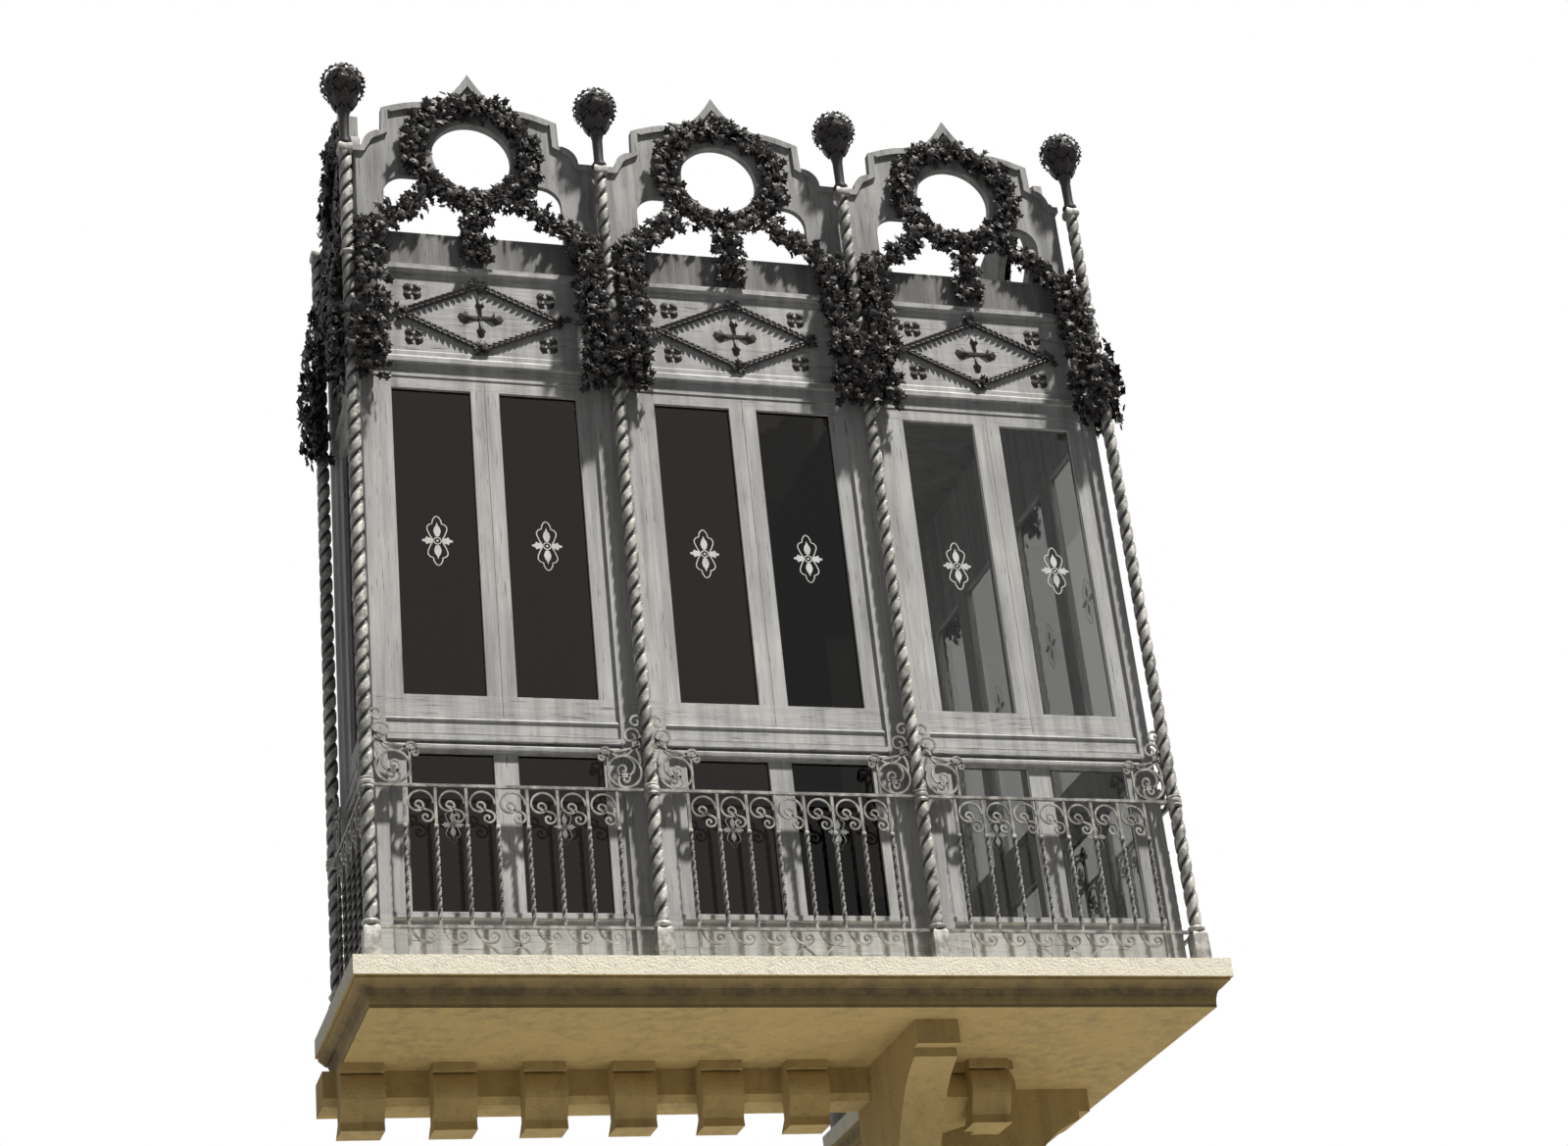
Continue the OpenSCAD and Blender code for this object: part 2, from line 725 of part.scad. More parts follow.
color(stone) on_front() shelf(front_run);  // slab_front
color(stone) on_side() shelf(side_run);  // slab_side
on_front() stone_band(front_run);  // stone_band_front
on_side() stone_band(side_run);  // stone_band_side
on_front() modillions(front_run);  // modillions_front
on_side() modillions(side_run);  // modillions_side
on_front() corner_bracket(front_run);  // corner_bracket_front
on_side() corner_bracket(side_run);  // corner_bracket_side
color(iron) on_front() for (i = [0:front_bays]) translate([i * bay_w, 0, 0]) column();  // columns_front
color(iron) on_side() for (i = [0:side_bays - 1]) translate([i * bay_w, 0, 0]) column();  // columns_side
union() {  // columns_wall
    color(iron) on_left_end() column();
    color(iron) on_back_end() column();
}
color(leaf_colour) on_front() for (i = [0:front_bays]) translate([i * bay_w, 0, 0]) finial();  // finials_front
color(leaf_colour) on_side() for (i = [0:side_bays - 1]) translate([i * bay_w, 0, 0]) finial();  // finials_side
union() {  // frame_front
    on_front() wing_frame(front_run, front_bays);
    on_front() color(timber) translate([front_run, 0, 0]) mirror([1, 0, 0]) corner_post();
}
on_side() wing_frame(side_run, side_bays);  // frame_side
union() {  // frame_ends
    on_left_end() end_frame();
    on_back_end() end_frame();
}
on_front() each_bay(front_bays) bay_casements(bay_w);  // casements_front
on_side() each_bay(side_bays) bay_casements(bay_w);  // casements_side
union() {  // casements_ends
    on_left_end() bay_casements(end_run);
    on_back_end() bay_casements(end_run);
}
on_front() each_bay(front_bays) bay_glass(bay_w);  // glass_front
on_side() each_bay(side_bays) bay_glass(bay_w);  // glass_side
union() {  // glass_ends
    on_left_end() bay_glass(end_run);
    on_back_end() bay_glass(end_run);
}
on_front() each_bay(front_bays) bay_frieze(bay_w);  // frieze_front
on_side() each_bay(side_bays) bay_frieze(bay_w);  // frieze_side
union() {  // frieze_ends
    on_left_end() bay_frieze(end_run);
    on_back_end() bay_frieze(end_run);
}
on_front() each_bay(front_bays) bay_frieze_ornament(bay_w);  // frieze_ornament_front
on_side() each_bay(side_bays) bay_frieze_ornament(bay_w);  // frieze_ornament_side
union() {  // frieze_ornament_ends
    on_left_end() bay_frieze_ornament(end_run);
    on_back_end() bay_frieze_ornament(end_run);
}
on_front() wing_crest(front_run, front_bays);  // crest_front
on_side() wing_crest(side_run, side_bays);  // crest_side
union() {  // crest_ends
    on_left_end() end_crest();
    on_back_end() end_crest();
}
on_front() each_bay(front_bays) bay_wreath(bay_w);  // wreaths_front
on_side() each_bay(side_bays) bay_wreath(bay_w);  // wreaths_side
union() {  // wreaths_ends
    on_left_end() bay_wreath(end_run);
    on_back_end() bay_wreath(end_run);
}
on_front() each_bay(front_bays) bay_garland(bay_w);  // garlands_front
on_side() each_bay(side_bays) bay_garland(bay_w);  // garlands_side
union() {  // garlands_ends
    on_left_end() bay_garland(end_run);
    on_back_end() bay_garland(end_run);
}
on_front() each_bay(front_bays) bay_railing(bay_w);  // railing_front
on_side() each_bay(side_bays) bay_railing(bay_w);  // railing_side
union() {  // railing_ends
    on_left_end() bay_railing(end_run);
    on_back_end() bay_railing(end_run);
}
on_front() each_bay(front_bays) bay_scroll_brackets(bay_w);  // scroll_brackets_front
on_side() each_bay(side_bays) bay_scroll_brackets(bay_w);  // scroll_brackets_side
union() {  // scroll_brackets_ends
    on_left_end() bay_scroll_brackets(end_run);
    on_back_end() bay_scroll_brackets(end_run);
}
on_front() wing_roof(front_run);  // roof_front
on_side() wing_roof(side_run);  // roof_side
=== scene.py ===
"""Looks of a glazed corner balcony: twisted iron columns, leaf work, railing, timber, glass and stone."""

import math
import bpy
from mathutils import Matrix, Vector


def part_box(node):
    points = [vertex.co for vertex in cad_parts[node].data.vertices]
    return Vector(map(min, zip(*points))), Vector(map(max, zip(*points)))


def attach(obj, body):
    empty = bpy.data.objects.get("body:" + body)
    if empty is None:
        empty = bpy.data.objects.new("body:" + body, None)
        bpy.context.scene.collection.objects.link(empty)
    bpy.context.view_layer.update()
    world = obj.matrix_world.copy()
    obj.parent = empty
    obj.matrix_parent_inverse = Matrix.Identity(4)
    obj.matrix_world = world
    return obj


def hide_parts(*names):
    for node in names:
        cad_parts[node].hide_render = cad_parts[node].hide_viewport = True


bl_info = {
    "name": "Glazed corner balcony",
    "version": (1, 0, 0),
    "blender": (4, 5, 0),
    "location": "View3D > Sidebar > Balcony",
    "description": "Dresses the packed balcony in its ironwork, timber, glass and stone",
    "category": "Object",
}

import bmesh
import bpy
from bpy.props import FloatProperty, FloatVectorProperty, IntProperty, PointerProperty
from mathutils import Matrix, Vector

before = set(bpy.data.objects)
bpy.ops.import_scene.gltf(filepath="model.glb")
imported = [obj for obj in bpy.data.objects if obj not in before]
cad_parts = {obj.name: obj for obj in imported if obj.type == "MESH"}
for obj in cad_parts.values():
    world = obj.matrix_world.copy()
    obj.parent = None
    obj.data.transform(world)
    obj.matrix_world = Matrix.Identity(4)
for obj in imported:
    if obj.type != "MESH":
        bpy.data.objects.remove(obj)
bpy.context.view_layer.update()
GROUPS = ("front", "side", "ends")
FRONT_BAYS, SIDE_BAYS = 3, 2
TAU = 2 * math.pi
INWARD = Matrix.Rotation(math.pi / 2, 4, "X")  # lays a flat drawing up in a wing's plane
ARC_STEP = 12  # most degrees from one point of a bent bar to the next
SHARP_ANGLE = math.radians(35)
LEAF_SPACING = 0.030
FLOWER_SHARE = 0.32  # of what is strewn in wreaths and garlands

# Levels over the floor at which a finish changes
RAIL_BANDS = ((-0.1, 0.255), (0.980, 1.255), (2.818, 3.490))  # boards that lie along the wing
SPLASH_TOP = 0.30  # rain splashes the timber up to here
LOWER_LIGHTS_TOP = 1.2
CREST_SHADE_BAND = (3.50, 3.676)  # painted shade on the boards under the crest's foot
# over this level the crest's boards get painted shade
CREST_FOOT = 3.70
EDGE_FOOT = -0.084  # under the plain edge of the shelf
COVE_MIDDLE = -0.137  # of the shelf's hollow
COVE_REACH = (0.055, 0.012)  # from that middle to where the painted shade ends and to where it is full
SHADOW_LINE = (-0.2045, -0.190)  # painted shadow line under the shelf's mouldings


# Sizes and colours that a user would change


def length(name, description, default):
    return FloatProperty(name=name, description=description, default=default, unit="LENGTH")


def colour(name, description, default):
    return FloatVectorProperty(name=name, description=description, default=default, size=3,
                               subtype="COLOR", min=0, max=1)


class BalconySizes(bpy.types.PropertyGroup):
    floor_level: length("Floor level", "Top of the stone shelf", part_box("slab_front")[1].z)
    left_edge: length("Left edge", "Axis of the left columns", -1.875)
    front: length("Front", "Axis of the front columns", -1.0)
    wall_side: length("Side wall", "Face of the building's side wall", 0.875)
    wall_gap: length("Wall gap", "From the wall to the columns against it", 0.075)
    bay_width: length("Bay width", "From one column axis to the next", 1.25)
    post_half: length("Post", "From a column axis to the post's edge", 0.104)
    board_in: length("Boards", "From the column line to the face of the boards", 0.060)
    glass_in: length("Glass", "From the column line to the glass", 0.082)
    stile: length("Stile", "Width of a casement's outer stile", 0.084)
    meeting: length("Meeting stile", "Width of a meeting stile with half its gap", 0.067)
    mullion_half: length("Mullion", "Half width of the mullion of the lower lights", 0.053)


class IronSizes(bpy.types.PropertyGroup):
    column_top: length("Column top", "Top of the columns over the floor", 4.110)
    shaft_radius: length("Shaft radius", "Over the rounds of the twist", 0.0315)
    shaft_groove: FloatProperty(name="Groove", description="Depth of the groove as a share of the radius",
                                default=0.42, min=0, max=1)
    shaft_lead: length("Shaft lead", "Rise of the twist in one turn", 0.172)
    foot_width: length("Foot width", "Side of the square foot", 0.072)
    foot_height: length("Foot height", "Height of the square foot", 0.162)
    rail_top: length("Rail top", "Top of the handrail over the floor", 0.801)
    bar: length("Bar", "Side of the rails and balusters", 0.013)
    scroll_bar: length("Scroll bar", "Side of the bars bent into scrolls", 0.010)
    baluster_pitch: length("Baluster pitch", "From one baluster to the next", 0.133)
    scroll_height: length("Scroll height", "Straight part of a baluster under the rail", 0.185)
    ring_radius: length("Ring radius", "Ring ornament over the handrail", 0.080)
    collar_radius: length("Collar radius", "Collar of a column at the handrail", 0.036)


class LeafSizes(bpy.types.PropertyGroup):
    leaf: length("Leaf", "Length of a leaf from its middle", 0.028)
    flower: length("Flower", "Radius of a small flower", 0.026)
    ball_level: length("Ball level", "Centre of a flower ball over the floor", 4.464)
    ball_radius: length("Ball radius", "Over the petals", 0.118)
    ring_level: length("Wreath level", "Centre of a wreath over the floor", 4.141)
    wreath_middle: length("Wreath", "Radius of the middle of the leaf ring", 0.288)
    frieze_level: length("Frieze level", "Centre of the lozenge over the floor", 3.222)
    lozenge_half: length("Lozenge width", "Half width of the lozenge", 0.385)
    lozenge_rise: length("Lozenge height", "Half height of the lozenge", 0.176)
    seed: IntProperty(name="Seed", description="Changes the lie of the leaves", default=7, min=0)


class Colours(bpy.types.PropertyGroup):
    timber: colour("Timber", "Weathered grey paint", (0.450, 0.455, 0.460))
    timber_worn: colour("Worn timber", "Bleached wood where the paint has gone", (0.680, 0.670, 0.640))
    # this colour is used for real dirt and also for the painted shade under the crest's foot and over the
    # crest
    timber_grime_and_shade: colour("Timber grime and shade", "Dirt that has run down the boards, and painted shade at the crest", (0.070, 0.067, 0.064))
    iron: colour("Iron", "Painted bars", (0.150, 0.148, 0.141))
    # also the pale specks on the leaves, which are partly dust and partly painted glints
    iron_dust: colour("Iron dust", "Chalky, weathered paint", (0.740, 0.730, 0.685))
    roof: colour("Roof", "Weathered boards of the roof", (0.180, 0.178, 0.170))
    railing: colour("Railing iron", "Paint left on the railing", (0.120, 0.118, 0.110))
    railing_dust: colour("Railing dust", "Chalky paint of the railing", (0.500, 0.492, 0.460))
    leaf_iron: colour("Leaf iron", "Sheet iron of the leaf work", (0.008, 0.007, 0.007))
    # painted shade in the grooves of the twisted bars
    hollow: colour("Hollow shade", "Painted shade in the hollows of the bars", (0.030, 0.028, 0.026))
    rust: colour("Rust", "Rust on bars and leaves", (0.130, 0.060, 0.032))
    stone: colour("Stone", "Ochre sandstone", (0.520, 0.380, 0.155))
    stone_edge: colour("Washed stone", "Edge of the shelf, washed by rain", (0.950, 0.910, 0.760))
    # this colour paints real stains and also the shade in the shelf's hollow and the shadow line under its
    # mouldings
    stone_stain_and_shade: colour("Stained and shaded stone", "Soot and lichen on the stone, and painted shade in the shelf's hollow and under its mouldings", (0.105, 0.080, 0.045))
    # painted shade: this near-black colour stands for the unlit room behind the panes
    glass: colour("Glass", "Painted shade of the dark room, as the tint of the panes", (0.014, 0.012, 0.010))
    glass_clear: colour("Clear glass", "Tint of the corner and side panes", (0.420, 0.425, 0.415))
    etching: colour("Etching", "Frosted ornament on the panes", (0.700, 0.710, 0.690))


def sizes():
    return bpy.context.scene.balcony_sizes


def iron():
    return bpy.context.scene.balcony_iron


def leaves():
    return bpy.context.scene.balcony_leaves


def paints():
    return bpy.context.scene.balcony_colours


# Wings and bays


def corner():
    """X of the axis of the corner column and of the side wing's."""
    return sizes().left_edge + FRONT_BAYS * sizes().bay_width


def back():
    """Y of the axis of the side wing's last column."""
    return sizes().front + SIDE_BAYS * sizes().bay_width


def wing_matrix(x, y, along, inward):
    """Turns (along the wing, inward, over the floor) into the part's frame."""
    return Matrix(((along[0], inward[0], 0, x), (along[1], inward[1], 0, y),
                   (0, 0, 1, sizes().floor_level), (0, 0, 0, 1)))


def bays(group):
    """Every bay of a group as its matrix, its run and a number that no other bay has."""
    plan = sizes()
    if group == "front":
        wing, count, first = wing_matrix(plan.left_edge, plan.front, (1, 0), (0, 1)), FRONT_BAYS, 0
    elif group == "side":
        wing, count, first = wing_matrix(corner(), back(), (0, -1), (-1, 0)), SIDE_BAYS, FRONT_BAYS
    else:
        wall_x, wall_y = plan.wall_side + plan.wall_gap, -plan.wall_gap
        left = wing_matrix(plan.left_edge, wall_y, (0, -1), (1, 0))
        right = wing_matrix(wall_x, back(), (1, 0), (0, -1))
        first = FRONT_BAYS + SIDE_BAYS
        return [(left, wall_y - plan.front, first), (right, corner() - wall_x, first + 1)]
    return [(wing @ Matrix.Translation((i * plan.bay_width, 0, 0)), plan.bay_width, first + i)
            for i in range(count)]


def column_axes(group):
    """X and Y of a group's columns, the corner column being one of the front's."""
    plan = sizes()
    if group == "front":
        return [(plan.left_edge + i * plan.bay_width, plan.front) for i in range(FRONT_BAYS + 1)]
    if group == "side":
        return [(corner(), back() - i * plan.bay_width) for i in range(SIDE_BAYS)]
    return [(plan.left_edge, -plan.wall_gap), (plan.wall_side + plan.wall_gap, back())]


# Mesh helpers


def plain_mesh(name, points, edges=(), faces=()):
    mesh = bpy.data.meshes.new(name)
    mesh.from_pydata([tuple(p) for p in points], list(edges), list(faces))
    return mesh


def path_mesh(paths, closed=False):
    """Edges that follow each list of points, which lie at Z 0 where they have only X and Y."""
    points, edges = [], []
    for path in paths:
        first = len(points)
        points += [(*p, 0)[:3] for p in path]
        edges += [(i, i + 1) for i in range(first, len(points) - 1)]
        if closed:
            edges.append((len(points) - 1, first))
    return plain_mesh("path", points, edges)


def polar(radius, angle):
    return radius * math.cos(angle), radius * math.sin(angle)


def bend(start, shape, unit=1.0):
    """Points of a bar: its shape is a heading and arcs of (radius in units, turn to the left), in degrees."""
    heading, *arcs = shape
    x, y = start
    points = [(x, y)]
    for units, turn in arcs:
        radius = units * unit
        side = 90 if turn > 0 else -90
        out_x, out_y = polar(radius, math.radians(heading + side))
        cx, cy = x + out_x, y + out_y
        count = max(1, math.ceil(abs(turn) / ARC_STEP))
        for k in range(1, count + 1):
            back_x, back_y = polar(radius, math.radians(heading - side + turn * k / count))
            x, y = cx + back_x, cy + back_y
            points.append((x, y))
        heading += turn
    return points


def circle(cx, cy, radius, count):
    return [(cx + x, cy + y) for x, y in (polar(radius, TAU * k / count) for k in range(count))]


def turned(profile, sides=20, turn=0.0):
    """A closed solid turned about Z from (radius, height) pairs that start and end on the axis."""
    points, faces = [(0, 0, profile[0][1])], []
    rings = [p for p in profile if p[0] > 0]
    for radius, height in rings:
        points += [(*polar(radius, TAU * k / sides + turn), height) for k in range(sides)]
    points.append((0, 0, profile[-1][1]))
    top = len(points) - 1
    for k in range(sides):
        n = (k + 1) % sides
        faces.append((0, 1 + n, 1 + k))
        faces.append((top, top - sides + k, top - sides + n))
        for r in range(len(rings) - 1):
            a = 1 + r * sides
            faces.append((a + k, a + n, a + sides + n, a + sides + k))
    return plain_mesh("turned", points, faces=faces)


def squared(profile):
    """A closed solid with four flat sides from (half width, height) pairs that start and end on the axis."""
    return turned([(half * math.sqrt(2), z) for half, z in profile], sides=4, turn=math.pi / 4)


def sheet(outline, thickness):
    """A thin closed plate with that outline in X and Y."""
    area = sum(a[0] * b[1] - b[0] * a[1] for a, b in zip(outline, outline[1:] + outline[:1]))
    rim = list(outline) if area > 0 else list(outline)[::-1]
    n, half = len(rim), thickness / 2
    points = [(x, y, -half) for x, y in rim] + [(x, y, half) for x, y in rim]
    faces = [tuple(range(n - 1, -1, -1)), tuple(range(n, 2 * n))]
    faces += [(k, (k + 1) % n, n + (k + 1) % n, n + k) for k in range(n)]
    return plain_mesh("sheet", points, faces=faces)


def moulding(section, corners):
    """A closed run of a section of (out, height) points along mitred corners of (x, y, out x, out y)."""
    count, n = len(corners), len(section)
    points = [(x + out * dx, y + out * dy, z) for out, z in section for x, y, dx, dy in corners]
    faces = [(k * count + c, k * count + c + 1, (k + 1) % n * count + c + 1, (k + 1) % n * count + c)
             for k in range(n) for c in range(count - 1)]
    first_end = [k * count for k in range(n)]
    faces += [tuple(first_end), tuple(k + count - 1 for k in reversed(first_end))]
    mesh = plain_mesh("moulding", points, faces=faces)
    whole = bmesh.new()
    whole.from_mesh(mesh)
    bmesh.ops.recalc_face_normals(whole, faces=whole.faces)
    whole.to_mesh(mesh)
    whole.free()
    return mesh


def joined(name, parts):
    """One mesh of several (mesh, matrix) pairs, with the faces of mirrored ones turned back out."""
    whole = bmesh.new()
    for mesh, matrix in parts:
        copy = mesh.copy()
        copy.transform(matrix)
        if matrix.determinant() < 0:
            copy.flip_normals()
        whole.from_mesh(copy)
        bpy.data.meshes.remove(copy)
    mesh = bpy.data.meshes.new(name)
    whole.to_mesh(mesh)
    whole.free()
    return mesh


def at(x, y, z):
    return Matrix.Translation((x, y, z))


def in_scene(name, data):
    made = bpy.data.objects.new(name, data)
    bpy.context.scene.collection.objects.link(made)
    return made


def piece(name, node, material, parts):
    """Makes the finished piece, which rides on the balcony and stands for the node where there is one."""
    mesh = joined(name, parts)
    if not mesh.polygons:
        raise RuntimeError(name + " came out empty")
    mesh.materials.clear()
    mesh.materials.append(material)
    mesh.shade_smooth()
    mesh.set_sharp_from_angle(angle=SHARP_ANGLE)
    made = in_scene(name, mesh)
    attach(made, "root")
    if node:
        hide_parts(node)


def piece_per_group(name, node, slot, material, build, *given):
    """Makes a piece for each group, of the (mesh, matrix) pairs that build gives for a run and a number."""
    for group in GROUPS:
        parts = []
        for matrix, run, number in bays(group):
            parts += [(mesh, matrix @ place) for mesh, place in build(run, number, *given)]
        piece(name + "_" + group, node and node + "_" + group, material, parts)


# Node helpers


class Wiring:
    """Adds nodes to a tree and links or sets their inputs by name or number."""

    def __init__(self, tree):
        self.tree = tree

    def add(self, kind, inputs=None, **settings):
        node = self.tree.nodes.new(kind)
        for name, value in settings.items():
            setattr(node, name, value)
        for name, value in (inputs or {}).items():
            socket = node.inputs[name] if isinstance(name, int) else next(
                s for s in node.inputs if s.name == name and s.enabled)
            if isinstance(value, bpy.types.NodeSocket):
                self.tree.links.new(value, socket)
            else:
                socket.default_value = value
        return node

    def out(self, kind, inputs=None, **settings):
        node = self.add(kind, inputs, **settings)
        return next(s for s in node.outputs if s.enabled)

    def calc(self, operation, a, b=0.0):
        return self.out("ShaderNodeMath", {0: a, 1: b}, operation=operation)

    def plus(self, a, b):
        return self.calc("ADD", a, b)

    def minus(self, a, b):
        return self.calc("SUBTRACT", a, b)

    def times(self, a, b):
        return self.calc("MULTIPLY", a, b)

    def over(self, value, limit):
        return self.calc("GREATER_THAN", value, limit)

    def under(self, value, limit):
        return self.calc("LESS_THAN", value, limit)

    def within(self, value, low, high):
        """1 between low and high, and 0 elsewhere."""
        return self.times(self.over(value, low), self.under(value, high))

    def spread(self, value, low, high):
        """The value drawn out to run from 0 at low to 1 at high."""
        return self.out("ShaderNodeMapRange", {"Value": value, "From Min": low, "From Max": high})

    def scaled(self, vector, factor):
        return self.out("ShaderNodeVectorMath", {0: vector, "Scale": factor}, operation="SCALE")

    def floor_height(self, place):
        """Height of a place over the floor."""
        return self.minus(self.add("ShaderNodeSeparateXYZ", {0: place}).outputs["Z"], sizes().floor_level)


class Grower(Wiring):
    """A geometry node tree with named sizes, which ends in realized instances of one material."""

    def __init__(self, name, inputs):
        super().__init__(bpy.data.node_groups.new(name, "GeometryNodeTree"))
        face = self.tree.interface
        face.new_socket("Geometry", in_out="INPUT", socket_type="NodeSocketGeometry")
        for label, kind, value in inputs:
            socket = face.new_socket(label, in_out="INPUT", socket_type="NodeSocket" + kind)
            if value is not None:
                socket.default_value = value
        face.new_socket("Material", in_out="INPUT", socket_type="NodeSocketMaterial")
        face.new_socket("Geometry", in_out="OUTPUT", socket_type="NodeSocketGeometry")
        self.start = self.tree.nodes.new("NodeGroupInput")

    def given(self, label):
        return self.start.outputs[label]

    def path(self):
        """The edges of the base mesh as a curve."""
        return self.out("GeometryNodeMeshToCurve", {"Mesh": self.given("Geometry")})

    def resampled(self, curve, label):
        """The curve with its points as far apart as that input says."""
        return self.out("GeometryNodeResampleCurve", {"Curve": curve, "Length": self.given(label)},
                        mode="LENGTH")

    def turned_by(self, rotation, angles):
        """The rotation, turned about its own axes by X, Y and Z angles."""
        turn = self.out("FunctionNodeEulerToRotation", {0: angles})
        return self.out("FunctionNodeRotateRotation", {"Rotation": rotation, "Rotate By": turn},
                        rotation_space="LOCAL")

    def planted(self, points, label, rotation, size, **more):
        """The object of that input on every point."""
        shape = self.add("GeometryNodeObjectInfo", {"Object": self.given(label), "As Instance": True})
        return self.out("GeometryNodeInstanceOnPoints", {
            "Points": points, "Instance": shape.outputs["Geometry"], "Rotation": rotation, "Scale": size,
            **more})

    def gathered(self, branches):
        both = self.add("GeometryNodeJoinGeometry")
        for branch in branches:
            self.tree.links.new(branch, both.inputs[0])
        return both.outputs[0]

    def on_points(self, instance):
        return self.out("GeometryNodeInstanceOnPoints",
                        {"Points": self.given("Geometry"), "Instance": instance})

    def end(self, geometry):
        real = self.out("GeometryNodeRealizeInstances", {"Geometry": geometry})
        dressed = self.out("GeometryNodeSetMaterial",
                           {"Geometry": real, "Material": self.given("Material")})
        self.tree.links.new(dressed, self.tree.nodes.new("NodeGroupOutput").inputs[0])
        return self.tree


def twisted_bars():
    """Bars with one or more rounds that wind up from every point of the base mesh."""
    g = Grower("Twisted bars", [
        ("Height", "Float", 1.0), ("Radius", "Float", 0.03), ("Groove", "Float", 0.3),
        ("Lead", "Float", 0.18), ("Step", "Float", 0.01), ("Sides", "Int", 20),
        ("Rounds", "Int", 2), ("Mark", "Float", 1.0)])
    groove_power = 2.4
    ring = g.out("GeometryNodeCurvePrimitiveCircle", {"Resolution": g.given("Sides"), "Radius": 1.0})
    place = g.out("GeometryNodeInputPosition")
    apart = g.add("ShaderNodeSeparateXYZ", {0: place})
    around = g.calc("ARCTAN2", apart.outputs["Y"], apart.outputs["X"])
    share = g.times(around, g.times(g.given("Rounds"), 0.5))
    hollow = g.minus(1.0, g.calc("ABSOLUTE", g.calc("COSINE", share)))
    cut = g.minus(1.0, g.times(g.given("Groove"), g.calc("POWER", hollow, groove_power)))
    moved = g.scaled(place, g.times(g.given("Radius"), cut))
    # the groove's depth, scaled by Mark, is stored so that the bar finish paints shade into the grooves
    marked = g.out("GeometryNodeStoreNamedAttribute",
                   {"Geometry": ring, "Name": "hollow", "Value": g.times(hollow, g.given("Mark"))},
                   data_type="FLOAT", domain="POINT")
    profile = g.out("GeometryNodeSetPosition", {"Geometry": marked, "Position": moved})
    tip = g.out("ShaderNodeCombineXYZ", {"Z": g.given("Height")})
    line = g.resampled(g.out("GeometryNodeCurvePrimitiveLine", {"End": tip}), "Step")
    run = g.add("GeometryNodeSplineParameter").outputs["Length"]
    tilt = g.calc("DIVIDE", g.times(run, TAU), g.given("Lead"))
    wound = g.out("GeometryNodeSetCurveTilt", {"Curve": line, "Tilt": tilt})
    return g.end(g.on_points(g.out("GeometryNodeCurveToMesh", {
        "Curve": wound, "Profile Curve": profile, "Fill Caps": True})))


def bent_bars():
    """Square bars along the edges of the base mesh."""
    g = Grower("Bent bars", [("Width", "Float", 0.008), ("Thickness", "Float", 0.008)])
    section = g.out("GeometryNodeCurvePrimitiveQuadrilateral",
                    {"Width": g.given("Width"), "Height": g.given("Thickness")})
    return g.end(g.out("GeometryNodeCurveToMesh", {
        "Curve": g.path(), "Profile Curve": section, "Fill Caps": True}))


def leafy_strand():
    """Leaves and a few flowers strewn along the edges of the base mesh, turned every way."""
    g = Grower("Leafy strand", [
        ("Leaf", "Object", None), ("Flower", "Object", None), ("Spacing", "Float", 0.03),
        ("Copies", "Int", 5), ("Spread", "Vector", None), ("Leaf size", "Float", 0.03),
        ("Flower size", "Float", 0.03), ("Flower share", "Float", 0.3), ("Seed", "Int", 0)])
    tip, sway = 0.75, 0.85
    smallest, largest = 0.72, 1.2

    def chance(low, high, draw, kind="FLOAT"):
        seed = g.plus(g.given("Seed"), draw)
        return g.out("FunctionNodeRandomValue", {"Min": low, "Max": high, "Seed": seed}, data_type=kind)

    fine = g.resampled(g.path(), "Spacing")
    dots = g.out("GeometryNodeCurveToPoints", {"Curve": fine}, mode="EVALUATED")
    many = g.add("GeometryNodeDuplicateElements", {"Geometry": dots, "Amount": g.given("Copies")},
                 domain="POINT").outputs["Geometry"]
    throw = chance((-1, -1, -1), (1, 1, 1), 1, "FLOAT_VECTOR")
    offset = g.out("ShaderNodeVectorMath", {0: throw, 1: g.given("Spread")}, operation="MULTIPLY")
    strewn = g.out("GeometryNodeSetPosition", {"Geometry": many, "Offset": offset})
    turn = chance((-tip, 0.0, -sway), (tip, TAU, sway), 2, "FLOAT_VECTOR")
    rotation = g.out("FunctionNodeEulerToRotation", {0: turn})
    grown = chance(smallest, largest, 3)
    flowering = g.under(chance(0.0, 1.0, 4), g.given("Flower share"))
    return g.end(g.gathered([
        g.planted(strewn, label, rotation, g.times(grown, g.given(label + " size")), Selection=chosen)
        for label, chosen in (("Flower", flowering), ("Leaf", g.minus(1.0, flowering)))]))


def leaf_braid():
    """Pairs of leaves that follow the edges of the base mesh, as on a laurel cord."""
    g = Grower("Leaf braid", [
        ("Leaf", "Object", None), ("Spacing", "Float", 0.024), ("Leaf size", "Float", 0.02),
        ("Splay", "Float", 0.6)])
    lift = 0.25
    fine = g.resampled(g.path(), "Spacing")
    facing = g.out("FunctionNodeAlignRotationToVector", {"Vector": g.out("GeometryNodeInputTangent")},
                   axis="Z", pivot_axis="Y")
    branches = []
    for side in (1.0, -1.0):
        lean = g.out("ShaderNodeCombineXYZ", {"X": lift, "Y": g.times(g.given("Splay"), side)})
        branches.append(g.planted(fine, "Leaf", g.turned_by(facing, lean), g.given("Leaf size")))
    return g.end(g.gathered(branches))


